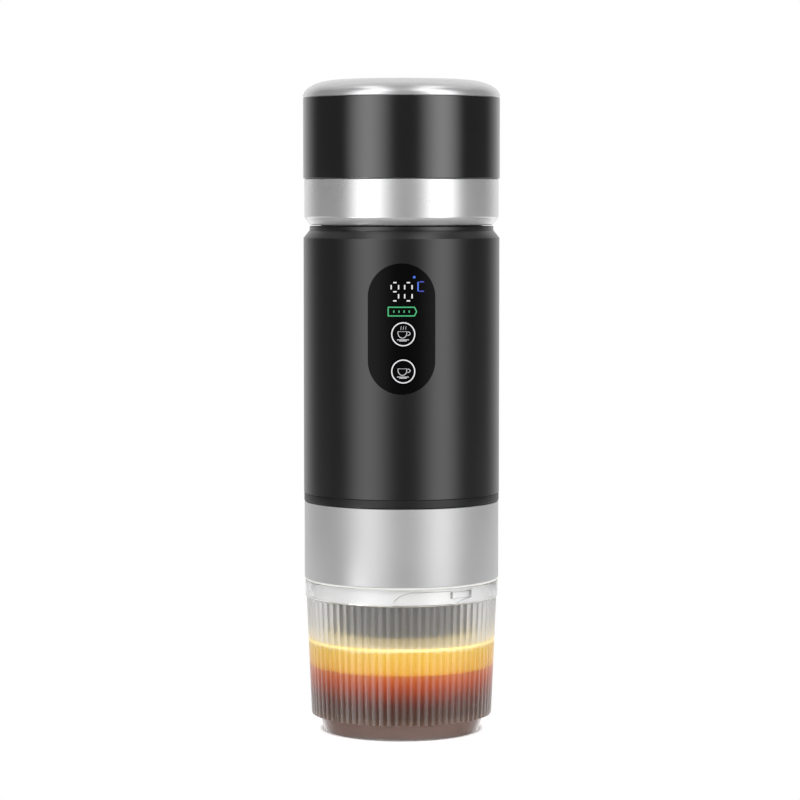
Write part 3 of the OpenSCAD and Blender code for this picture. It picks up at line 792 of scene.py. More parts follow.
@dataclass
class Cap:
    """The screw cap: dome, gloss band, silver ring and the liner inside.

    Attributes:
        wall: wall of its outer pieces.
        crown: radius of the dome's flat crown.
        dome_steps: how many edges the dome's curve has.
        dome_edge: straight edge at the foot of the dome.
        tongue: depth of the dome's tongue in the band.
        fit: gap between that tongue and the band.
        shelf: how far the band's shelf reaches in over the liner.
        bevel: inward reach and height of the bevel under the ring.
        lip: reach and thickness of the ring's inner lip, which the liner stands on.
        bore_gap: gap between the gasket and the liner's bore.
        edge: rounding of the dome's and the band's edges.
        ring_edge: rounding of the ring's edges.
        liner_edge: rounding of the liner's edges.
    """

    wall: float = 1.6
    crown: float = 23.0
    dome_steps: int = 24
    dome_edge: float = 0.5
    tongue: float = 3.0
    fit: float = 0.1
    shelf: float = 6.0
    bevel: Point = (2.2, 2.9)
    lip: Point = (2.9, 2.0)
    bore_gap: float = 0.6
    edge: float = 0.25
    ring_edge: float = 1.2
    liner_edge: float = 0.2

    def dome(self) -> Piece:
        """Turns the dome.

        Returns:
            The dome.
        """
        span = Span.of("cap_dome")
        foot = span.low + self.tongue
        rise = span.high - foot - self.dome_edge
        angles = [math.pi / 2 * step / self.dome_steps for step in range(self.dome_steps + 1)]
        arc = [
            (self.crown + (span.radius - self.crown) * math.sin(angle),
             foot + self.dome_edge + rise * math.cos(angle))
            for angle in angles
        ]
        inner = span.radius - self.wall - self.fit
        under = [
            (span.radius, foot + self.edge), (span.radius - self.edge, foot), (inner, foot), (inner, span.low),
            (inner - self.wall, span.low), (inner - self.wall, foot + self.dome_edge),
            (self.crown, span.high - self.wall), (0, span.high - self.wall),
        ]
        return smooth(turned("dome_turned", [(0, span.high), (self.crown / 2, span.high), *arc, *under]))

    def band(self) -> Piece:
        """Turns the gloss band with the shelf inside that the liner hangs from.

        Returns:
            The band.
        """
        span, liner = Span.of("cap_band"), Span.of("cap_liner")
        shelf_top = liner.high + (liner.high - Span.of("cap_gasket").high)
        inner, hole = Span.of("cap_ring").radius - self.wall, liner.radius - self.shelf
        profile = [
            (inner, span.low), (span.radius, span.low), (span.radius, span.high),
            (span.radius - self.wall, span.high), (span.radius - self.wall, shelf_top),
            (hole, shelf_top), (hole, liner.high), (inner, liner.high),
        ]
        return lathe("band_turned", profile, self.edge)

    def silver_ring(self) -> Piece:
        """Turns the silver ring with its bevelled foot.

        Returns:
            The ring.
        """
        span = Span.of("cap_ring")
        reach, thickness = self.lip
        inner, hole, shelf = span.radius - self.wall, Span.of("cap_liner").radius - reach, span.low + thickness
        foot, rise = self.bevel
        profile = [
            (hole, span.low), (span.radius - foot, span.low), (span.radius - self.wall / 3, shelf),
            (span.radius, span.low + rise), (span.radius, span.high), (inner, span.high),
            (inner, shelf), (hole, shelf),
        ]
        return lathe("ring_turned", profile, self.ring_edge, steps=6)

    def liner(self) -> Piece:
        """Turns the liner, which closes the neck.

        Returns:
            The liner.
        """
        span, gasket = Span.of("cap_liner"), Span.of("cap_gasket")
        bore = gasket.radius + self.bore_gap
        profile = [
            (0, gasket.high), (bore, gasket.high), (bore, span.low), (span.radius, span.low),
            (span.radius, span.high), (0, span.high),
        ]
        return lathe("liner_turned", profile, self.liner_edge)

    def build(self, finish: Finishes) -> None:
        """Makes and dresses the cap's pieces.

        Args:
            finish: the materials by name.
        """
        dress(self.dome(), "cap", "silver_dome", finish["silver_dome"], "cap_dome")
        dress(self.band(), "cap", "black_gloss", finish["black_gloss"], "cap_band")
        dress(self.silver_ring(), "cap", "silver_ring", finish["silver_ring"], "cap_ring")
        dress(self.liner(), "cap", "dark_plastic", finish["dark_plastic"], "cap_liner")


def capsule(width: float, height: float, centre: Point, front: float, back: float) -> Piece:
    """Makes a bar along Y with a round-ended outline.

    Args:
        width: its width along X.
        height: its height along Z; a height below the width makes it lie flat.
        centre: the place of its middle along X and Z.
        front: where it starts along Y.
        back: where it ends along Y.

    Returns:
        The bar.
    """
    take()
    small, stretch = min(width, height), abs(height - width) / 2
    bpy.ops.mesh.primitive_circle_add(
        vertices=SEGMENTS // 2, radius=small / 2 * MM, fill_type="NGON", rotation=(math.pi / 2, 0, 0),
        location=(centre[0] * MM, front * MM, centre[1] * MM),
    )
    bar = settle("capsule_bar")
    axis, middle = (2, centre[1]) if height > width else (0, centre[0])
    for side in (-1, 1):
        move = [0.0, 0.0, 0.0]
        move[axis] = side * stretch * MM
        pick(bar, lambda place: side * (place[axis] - middle) > HAIR / 100)
        bpy.ops.transform.translate(value=move)
    bpy.ops.mesh.select_all(action="SELECT")
    bpy.ops.mesh.extrude_region_move(TRANSFORM_OT_translate={"value": (0, (back - front) * MM, 0)})
    close_up(bar)
    return bar


@dataclass
class Body:
    """The body: shell, threaded neck, base ring and the threaded brew head under it.

    Attributes:
        wall: wall of the shell.
        fit: gap between the shell and what stands in it.
        shoulder: height of the bevelled shoulder.
        edge: rounding of the shell's and the base ring's edges.
        base_wall: wall of the base ring's rim.
        neck_bore: radius of the bore through the neck.
        neck_sleeve: depth of the neck's sleeve in the shell.
        neck_flange: thickness of the flange under the thread.
        neck_edge: rounding of the neck's edges.
        head_edge: rounding of the brew head's edges.
        thread_depth: height of the thread ridges.
        crest_reach: how far the neck's thread stands out past the gasket.
        cap_lead: rise of the cap over one turn.
        cap_start: height of the neck's thread over its flange.
        brew_lead: rise of the body over one turn on the chamber.
        brew_start: height of the brew head's thread over its foot.
        window: width and height of the panel's window.
        socket: width and height of the charge socket's hole.
        contact: width and height of the contact tongue in that socket.
        contact_depth: how far the tongue's end lies inside the socket's mouth.
        contact_root: how far its root lies inside the socket's back.
        contact_edge: rounding of its edges.
    """

    wall: float = 1.8
    fit: float = 0.1
    shoulder: float = 2.8
    edge: float = 0.3
    base_wall: float = 1.5
    neck_bore: float = 25.1
    neck_sleeve: float = 6.0
    neck_flange: float = 1.5
    neck_edge: float = 0.2
    head_edge: float = 0.4
    thread_depth: float = 0.8
    crest_reach: float = 0.3
    cap_lead: float = 6.0
    cap_start: float = 1.5
    brew_lead: float = 9.0
    brew_start: float = 1.2
    window: Point = (23.8, 46.2)
    socket: Point = (9.2, 3.4)
    contact: Point = (6.7, 0.75)
    contact_depth: float = 1.0
    contact_root: float = 0.5
    contact_edge: float = 0.1

    def neck(self) -> Piece:
        """Turns the dark neck and winds the cap's thread on it.

        Returns:
            The neck.
        """
        span = Span.of("top_collar")
        foot = span.low + self.neck_sleeve
        flange = foot + self.neck_flange
        sleeve, crest = span.radius - self.wall - self.fit, Span.of("cap_gasket").radius + self.crest_reach
        root = crest - self.thread_depth
        profile = [
            (self.neck_bore, span.low), (sleeve, span.low), (sleeve, foot), (span.radius, foot),
            (span.radius, flange), (root, flange), (root, span.high), (self.neck_bore, span.high),
        ]
        neck = turned("neck_turned", fillet(profile, self.neck_edge))
        ridge = thread("neck_thread", root, crest, flange + self.cap_start, self.cap_lead, turns=2)
        return smooth(joined("neck_turned", [neck, ridge]))

    def shell(self) -> Piece:
        """Turns the shell and cuts the window and the charge socket's hole.

        Returns:
            The shell.
        """
        span = Span.of("body_shell")
        neck = Span.of("top_collar").radius
        inner, edge = span.radius - self.wall, span.high - self.shoulder
        profile = [
            (inner, span.low), (span.radius, span.low), (span.radius, edge), (neck, span.high),
            (neck - self.wall, span.high), (neck - self.wall, span.high - self.wall), (inner, edge - self.wall),
        ]
        shell = turned("shell_turned", fillet(profile, self.edge), 2 * SEGMENTS)
        past, half = span.radius + PAST, span.radius / 2
        window = capsule(*self.window, (0, Span.of("panel_lens").middle), -past, -half)
        shape(shell, window, Shape.CUT)
        socket = capsule(*self.socket, (0, Span.of("charge_port").middle), half, past)
        shape(shell, socket, Shape.CUT)
        return true_round(smooth(shell), span.radius)

    def base(self) -> Piece:
        """Turns the black ring under the shell.

        Returns:
            The ring.
        """
        span, shell = Span.of("base_ring"), Span.of("body_shell")
        foot, rim = shell.low, shell.radius - self.wall - self.fit
        hole = rim - self.base_wall
        profile = [
            (0, span.low), (span.radius, span.low), (span.radius, foot), (rim, foot), (rim, span.high),
            (hole, span.high), (hole, foot), (0, foot),
        ]
        return lathe("base_turned", profile, self.edge)

    def head(self) -> Piece:
        """Turns the brew head's plug and winds its thread.

        Returns:
            The plug.
        """
        span = Span.of("brew_head")
        root = span.radius - self.thread_depth
        plug = turned("head_turned", fillet(disc(root, span.low, span.high), self.head_edge))
        ridge = thread("head_thread", root, span.radius, span.low + self.brew_start, self.brew_lead / 2, turns=1)
        return smooth(joined("head_turned", [plug, ridge]))

    def contact_tongue(self) -> Piece:
        """Makes the contact tongue, which stands on the closed end of the charge socket.

        Returns:
            The tongue.
        """
        low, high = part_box("charge_port")
        level = Span.of("charge_port").middle
        root, mouth = low.y / MM + self.contact_root, high.y / MM - self.contact_depth
        return soften(capsule(*self.contact, (0, level), root, mouth), self.contact_edge)

    def build(self, finish: Finishes) -> None:
        """Makes and dresses the body's pieces.

        Args:
            finish: the materials by name.
        """
        dress(self.contact_tongue(), "body", "dark_plastic", finish["black_matt"])
        dress(self.neck(), "body", "black_matt", finish["black_satin"], "top_collar")
        dress(self.shell(), "body", "black_satin", finish["black_satin"], "body_shell")
        dress(self.base(), "body", "black_matt", finish["black_matt"], "base_ring")
        dress(self.head(), "body", "dark_plastic", finish["dark_plastic"], "brew_head")


@dataclass
class Chamber:
    """The brew chamber: silver sleeve, grey core with its nose, white bayonet skirt and the seal on the cup.

    Attributes:
        wall: wall of the sleeve.
        edge: rounding of its edges.
        nose: radius of the nose.
        nose_wall: wall of the hollow under the nose.
        web: height of the web over that hollow.
        nozzle: radius of the nozzle's hole.
        well: radius of the basket's well.
        well_floor: height of the well's floor at its wall.
        well_fall: how far that floor falls towards the nozzle.
        shelf: height of the shelf that the basket's flange lies on.
        socket: radius of the threaded socket.
        skirt_wall: wall of the skirt.
        flange: thickness of the skirt's screwed flange.
        lugs: number of bayonet tracks.
        lug_angle: angle from the front to the middle of the first lug.
        lug_arc: arc of one lug.
        lug_lift: height of a lug's underside above the skirt's lower edge.
        lug_height: height of one lug.
        run: arc of the track's level run.
        mouth: arc of its curved mouth.
        lead: rise over one turn.
        track_radius: radius of the track's floor.
        track_edge: width of the bevel on the track's outline.
        track_steps: how many edges the track's outline has along each side.
        mouth_drop: how far below the skirt's foot the track's mouth starts its curve.
        stop_gap: arc of the gap between a lug and the end of its track.
        gap: gap round a lug in its track.
        core_edge: rounding of the core's edges.
        skirt_edge: rounding of the skirt's edges.
        seal_edge: rounding of the seal's edges.
    """

    wall: float = 1.2
    edge: float = 0.2
    nose: float = 26.5
    nose_wall: float = 2.4
    web: float = 46.5
    nozzle: float = 3.05
    well: float = 21.5
    well_floor: float = 53.8
    well_fall: float = 2.0
    shelf: float = 72.3
    socket: float = 30.3
    skirt_wall: float = 2.5
    flange: float = 1.8
    lugs: int = 3
    lug_angle: float = 40.5
    lug_arc: float = 15.0
    lug_lift: float = 2.0
    lug_height: float = 2.25
    run: float = 25.0
    mouth: float = 14.0
    lead: float = 48.0
    track_radius: float = 31.1
    track_edge: float = 0.22
    track_steps: int = 48
    mouth_drop: float = 1.0
    stop_gap: float = 0.6
    gap: float = 0.3
    core_edge: float = 0.5
    skirt_edge: float = 0.15
    seal_edge: float = 0.1

    def sleeve(self) -> Piece:
        """Turns the silver sleeve.

        Returns:
            The sleeve.
        """
        span = Span.of("chamber_shell")
        inner, hole = span.radius - self.wall, self.nose + self.gap
        profile = [
            (hole, span.low), (span.radius, span.low), (span.radius, span.high), (inner, span.high),
            (inner, span.low + self.wall), (hole, span.low + self.wall),
        ]
        return lathe("sleeve_turned", profile, self.edge)

    def core(self) -> Piece:
        """Turns the grey core with its hollow nose and threaded socket.

        Returns:
            The core.
        """
        span, foot = Span.of("chamber_core"), Span.of("chamber_shell").low + self.wall
        hollow = self.nose - self.nose_wall
        profile = [
            (self.nozzle, self.web), (hollow, self.web), (hollow, span.low), (self.nose, span.low),
            (self.nose, foot), (span.radius, foot), (span.radius, span.high), (self.socket, span.high),
            (self.socket, self.shelf), (self.well, self.shelf), (self.well, self.well_floor),
            (self.nozzle, self.well_floor - self.well_fall),
        ]
        return lathe("core_turned", profile, self.core_edge)

    @property
    def first(self) -> float:
        """The angle of the first track's mouth from the front."""
        return self.lug_angle - self.lug_arc / 2 - self.run - self.mouth

    def edges(self, angle: float) -> tuple[float, float]:
        """Works out where the track's edges lie.

        Args:
            angle: the angle past the track's mouth, in degrees.

        Returns:
            The heights of its upper and its lower edge above the skirt's foot.
        """
        stop = self.mouth + self.run + self.lug_arc
        top = self.lug_lift + self.lug_height + self.gap
        rise = 1 - (1 - min(angle, self.mouth) / self.mouth) ** 2
        lower = self.lug_lift - self.gap / 2 - self.lead / 360 * max(0, stop - angle)
        return (top + self.mouth_drop) * math.sqrt(rise) - self.mouth_drop, max(-2 * PAST, lower)

    def track(self, turn: float) -> Piece:
        """Makes the tool that cuts one track.

        Args:
            turn: the angle of its mouth from the front, in degrees.

        Returns:
            The tool.
        """
        skirt = Span.of("bayonet_skirt")
        arc = self.mouth + self.run + self.lug_arc + self.stop_gap
        angles = [arc * step / self.track_steps for step in range(self.track_steps + 1)]
        upper = [(angle, self.edges(angle)[0]) for angle in angles]
        lower = [(angle, self.edges(angle)[1]) for angle in reversed(angles)]
        take()
        bpy.ops.mesh.primitive_circle_add(vertices=len(upper) + len(lower), fill_type="NGON")
        tool = settle("track_tool")
        radius = self.track_radius * MM
        for vertex, (angle, height) in zip(tool.data.vertices, upper + lower):
            along = math.radians(turn + angle)
            vertex.co = (radius * math.sin(along), -radius * math.cos(along), (skirt.low + height) * MM)
        edit(tool)
        bpy.ops.mesh.quads_convert_to_tris()
        bpy.ops.mesh.extrude_region_move()
        grow = (skirt.radius + 2 * PAST) / self.track_radius
        bpy.ops.transform.resize(value=(grow, grow, 1), center_override=(0, 0, 0))
        close_up(tool)
        return tool

    def skirt(self) -> Piece:
        """Turns the white skirt and cuts its bayonet tracks.

        Returns:
            The skirt.
        """
        span = Span.of("bayonet_skirt")
        inner, hole = span.radius - self.skirt_wall, self.nose + self.gap
        profile = [
            (inner, span.low), (span.radius, span.low), (span.radius, span.high), (hole, span.high),
            (hole, span.high - self.flange), (inner, span.high - self.flange),
        ]
        skirt = turned("skirt_turned", fillet(profile, self.skirt_edge))
        for lug in range(self.lugs):
            shape(skirt, self.track(self.first + 360 * lug / self.lugs), Shape.CUT)
        self.ease(skirt, span)
        return true_round(smooth(skirt), span.radius)

    def ease(self, skirt: Piece, span: Span) -> None:
        """Bevels the upper edge of the tracks up to the lugs, in the skirt's second material, a grey painted shade
        along that edge.

        Args:
            skirt: the skirt with its tracks.
            span: where it lies.
        """
        def on_edge(place: Vector) -> bool:
            """Tests whether a point lies on such an edge.

            Args:
                place: the point's place in millimetres.

            Returns:
                True if it does.
            """
            turn = math.degrees(math.atan2(place.x, -place.y)) - self.first
            angle, lift = turn % (360 / self.lugs), place.z - span.low
            outside = math.hypot(place.x, place.y) > span.radius - 5 * HAIR
            upper = lift > max(20 * HAIR, sum(self.edges(angle)) / 2)
            return outside and upper and angle < self.mouth + self.run + 1

        # the second slot holds the grey painted shade for the tracks' upper edge
        for _ in ("skirt", "line"):
            skirt.data.materials.append(None)
        pick(skirt, lambda place: False)
        bpy.ops.mesh.select_mode(type="EDGE")
        bpy.ops.mesh.edges_select_sharp(sharpness=SHARP)
        bpy.ops.object.mode_set(mode="OBJECT")
        for edge in skirt.data.edges:
            edge.select = edge.select and all(on_edge(skirt.data.vertices[index].co / MM) for index in edge.vertices)
        bpy.ops.object.mode_set(mode="EDIT")
        bpy.ops.mesh.bevel(offset=self.track_edge * MM, segments=2, affect="EDGES", material=1)
        bpy.ops.object.mode_set(mode="OBJECT")

    def seal(self) -> Piece:
        """Turns the pale seal between sleeve and cup.

        Returns:
            The seal.
        """
        span = Span.of("cup_seal")
        inner = Span.of("bayonet_skirt").radius + self.gap
        return lathe("seal_turned", ring(span.radius, inner, span.low, span.high), self.seal_edge)

    def build(self, finish: Finishes) -> None:
        """Makes and dresses the chamber's pieces.

        Args:
            finish: the materials by name.
        """
        dress(self.sleeve(), "chamber", "silver_sleeve", finish["silver_sleeve"], "chamber_shell")
        dress(self.core(), "chamber", "grey_plastic", finish["grey_plastic"], "chamber_core")
        skirt = dress(self.skirt(), "chamber", "white_plastic", finish["white_plastic"], "bayonet_skirt")
        # painted shade: grey on the real bevel along the tracks' upper edge, where the wall faces down
        skirt.data.materials[1] = finish["track_shade"]
        dress(self.seal(), "cup_seal", "seal_rubber", finish["seal_rubber"], "cup_seal")


@dataclass
class Cup:
    """The clear reeded cup with the drink in it.

    Attributes:
        reeds: number of reeds round the wall.
        reed_points: points round one reed.
        reed_depth: depth of the grooves between reeds.
        reed_low: height where the reeds start.
        reed_high: height where they end under the collar.
        reed_foot: radius of the reeds at their foot.
        reed_top: radius of the reeds at their top.
        reed_inset: how far inside the grooves the reeds' flat underside starts.
        foot_height: height of the smooth foot.
        foot: radius of the foot where it stands.
        foot_top: radius of the foot at its top.
        foot_ring: width of the ring that it stands on.
        recess: depth of the recess under it.
        floor: height of the floor inside.
        wall: wall at the reeds.
        foot_wall: wall of the foot.
        collar_wall: wall of the smooth collar.
        ledge: how far below the collar's foot the ledge inside lies.
        corner: size of the corner between floor and wall.
        foot_edge: rounding of the foot's edges.
        collar_edge: rounding of the collar's edges.
        lug_depth: depth of a bayonet lug.
        lug_root: how far a lug reaches into the collar.
        lug_edge: rounding of a lug's edges.
        crema_low: height where the coffee meets the crema.
        crema_high: height of the crema's top at the wall.
        meniscus: the crema's edge from the wall inwards, as distance from the wall and depth.
        wet: how far the drink reaches into the wall, so that no air shows between them.
        sunk: how far it reaches into the floor.
        rim: radius and height of the rim that was drawn last, while the cup is modelled.
    """

    reeds: int = 69
    reed_points: int = 8
    reed_depth: float = 0.28
    reed_low: float = 6.1
    reed_high: float = 49.2
    reed_foot: float = 32.8
    reed_top: float = 34.65
    reed_inset: float = 0.2
    foot_height: float = 5.3
    foot: float = 28.3
    foot_top: float = 29.8
    foot_ring: float = 4.0
    recess: float = 0.5
    floor: float = 2.0
    wall: float = 2.5
    foot_wall: float = 2.0
    collar_wall: float = 2.5
    ledge: float = 0.3
    corner: float = 2.0
    foot_edge: float = 0.4
    collar_edge: float = 0.35
    lug_depth: float = 1.2
    lug_root: float = 0.5
    lug_edge: float = 0.2
    crema_low: float = 23.9
    crema_high: float = 33.6
    meniscus: tuple[Point, ...] = ((0, 0.5), (0, 0), (0.4, 0.25), (1.2, 0.6), (2.6, 0.8))
    wet: float = 0.5
    sunk: float = 1.2
    rim: Point = (AXIS, 0.0)

    @property
    def points_round(self) -> int:
        """How many points the cup has round its axis."""
        return self.reeds * self.reed_points

    def inside(self, height: float) -> float:
        """Works out the inner wall's radius.

        Args:
            height: a height over the corner between floor and wall.

        Returns:
            The radius there.
        """
        low, high = self.reed_low + self.corner, self.reed_high - self.ledge
        foot, top = (radius - self.wall for radius in (self.reed_foot, self.reed_top))
        return foot + (top - foot) * (height - low) / (high - low)

    def grow(self, height: float, radius: float) -> None:
        """Extrudes the selected rim, from where it is.

        Args:
            height: the new rim's height.
            radius: its radius.
        """
        last_radius, last_height = self.rim
        share = radius / last_radius
        bpy.ops.mesh.extrude_edges_move(TRANSFORM_OT_translate={"value": (0, 0, (height - last_height) * MM)})
        bpy.ops.transform.resize(value=(share, share, 1))
        self.rim = (radius, height)

    def flute(self, cup: Piece, depth: float) -> None:
        """Draws the last rim in to the grooves between reeds.

        Args:
            cup: the cup in edit mode, with its last rim selected.
            depth: depth of the grooves, 0 for a plain round.
        """
        bpy.ops.object.mode_set(mode="OBJECT")
        for vertex in cup.data.vertices[-self.points_round:]:
            place = vertex.co
            turn = round(math.atan2(place.y, place.x) / (2 * math.pi) * self.points_round)
            ridge = abs(math.sin(math.pi * turn / self.reed_points))
            share = (self.rim[0] - depth * (1 - ridge)) * MM / math.hypot(place.x, place.y)
            vertex.co = (place.x * share, place.y * share, place.z)
        bpy.ops.object.mode_set(mode="EDIT")

    def shell(self, lugs: Chamber) -> Piece:
        """Models the cup from its floor out, round the foot, up the reeds and back down inside.

        Args:
            lugs: the chamber whose bayonet lugs the cup carries.

        Returns:
            The cup.
        """
        span = Span.of("cup")
        take()
        bpy.ops.mesh.primitive_circle_add(
            vertices=self.points_round, radius=AXIS * MM, location=(0, 0, self.recess * MM)
        )
        cup = settle("cup_clear")
        self.rim = (AXIS, self.recess)
        edit(cup)
        hollow, bore = self.foot - self.foot_ring, span.radius - self.collar_wall
        groove = self.reed_foot - self.reed_depth
        under = [
            (0, self.recess), (hollow, self.recess), (hollow, 0), (self.foot, 0), (self.foot_top, self.foot_height),
            (groove - self.reed_inset, self.reed_low), (groove, self.reed_low),
        ]
        for radius, height in fillet(under, self.foot_edge, closed=False)[1:-1]:
            self.grow(height, radius)
        self.grow(self.reed_low, self.reed_foot)
        self.flute(cup, self.reed_depth)
        self.grow(self.reed_high, self.reed_top)
        self.flute(cup, self.reed_depth)
        self.grow(self.reed_high, self.reed_top + HAIR)
        self.flute(cup, 0)
        ledge, bend = self.reed_high - self.ledge, self.reed_low + self.corner
        over = [
            (self.reed_top, self.reed_high), (span.radius, self.reed_high), (span.radius, span.high),
            (bore, span.high), (bore, ledge), (self.inside(ledge), ledge), (self.inside(bend), bend),
        ]
        low = self.foot - self.foot_wall
        inside = [
            (low, self.floor + self.corner / 2), (low - self.corner / 2, self.floor + self.corner / 10),
            (low - self.corner, self.floor), (AXIS, self.floor),
        ]
        for radius, height in [*fillet(over, self.collar_edge, closed=False)[1:], *inside]:
            self.grow(height, radius)
        close_up(cup)
        for lug in range(lugs.lugs):
            shape(cup, self.lug(lugs, lugs.lug_angle + 360 * lug / lugs.lugs, bore), Shape.JOIN)
        return smooth(cup, angle=24)

    def lug(self, lugs: Chamber, angle: float, bore: float) -> Piece:
        """Makes one bayonet lug.

        Args:
            lugs: the chamber whose track it runs in.
            angle: the angle of its middle from the front, in degrees.
            bore: radius of the collar's inside.

        Returns:
            The lug.
        """
        low = self.reed_high + lugs.lug_lift
        outline = ring(bore + self.lug_root, bore - self.lug_depth, low, low + lugs.lug_height)
        block = turned("lug_block", fillet(outline, self.lug_edge))
        take()
        width, reach = 2 * bore * math.sin(math.radians(lugs.lug_arc / 2)), 20 * PAST
        bpy.ops.mesh.primitive_cube_add(size=1, location=(0, -bore * MM, (low + lugs.lug_height / 2) * MM))
        box = settle("lug_box")
        edit(box)
        bpy.ops.transform.resize(value=(width * MM, reach * MM, reach * MM))
        bpy.ops.transform.rotate(value=-math.radians(angle), orient_axis="Z", center_override=(0, 0, 0))
        bpy.ops.object.mode_set(mode="OBJECT")
        return shape(block, box, Shape.TRIM)

    def coffee(self) -> Piece:
        """Models the coffee, which fills the foot of the cup.

        Returns:
            The coffee.
        """
        low, bottom = self.foot - self.foot_wall + self.wet, self.floor - self.sunk
        bend = self.reed_low + self.corner
        profile = [
            (0, bottom), (low - self.corner / 2, bottom), (low, self.floor), (self.inside(bend) + self.wet, bend),
            (self.inside(self.crema_low) + self.wet, self.crema_low), (0, self.crema_low),
        ]
        return smooth(turned("coffee_drink", profile))

    def crema(self) -> Piece:
        """Models the crema, with the meniscus that it draws up the wall.

        Returns:
            The crema.
        """
        low, high = self.crema_low + 2 * HAIR, self.crema_high
        outer = self.inside(high) + self.wet
        edge = [(outer - inwards, high - depth) for inwards, depth in self.meniscus]
        profile = [(0, low), (self.inside(low) + self.wet, low), *edge, (0, edge[-1][1])]
        return smooth(turned("crema_foam", profile), angle=60)

    def build(self, finish: Finishes, lugs: Chamber) -> None:
        """Makes and dresses the cup and its drink.

        Args:
            finish: the materials by name.
            lugs: the chamber whose bayonet lugs the cup carries.
        """
        dress(self.shell(lugs), "cup", "clear_plastic", finish["clear_plastic"], "cup")
        dress(self.coffee(), "cup", "clear_plastic", finish["coffee"])
        dress(self.crema(), "cup", "clear_plastic", finish["crema"])


class Segment(Enum):
    """The bars of a seven-segment digit, as the place of the middle in half widths and half heights."""

    TOP = (0, 1)
    TOP_LEFT = (-1, 0.5)
    TOP_RIGHT = (1, 0.5)
    MIDDLE = (0, 0)
    LOW_LEFT = (-1, -0.5)
    LOW_RIGHT = (1, -0.5)
    FOOT = (0, -1)


NINE = [bar for bar in Segment if bar is not Segment.LOW_LEFT]
ZERO = [bar for bar in Segment if bar is not Segment.MIDDLE]


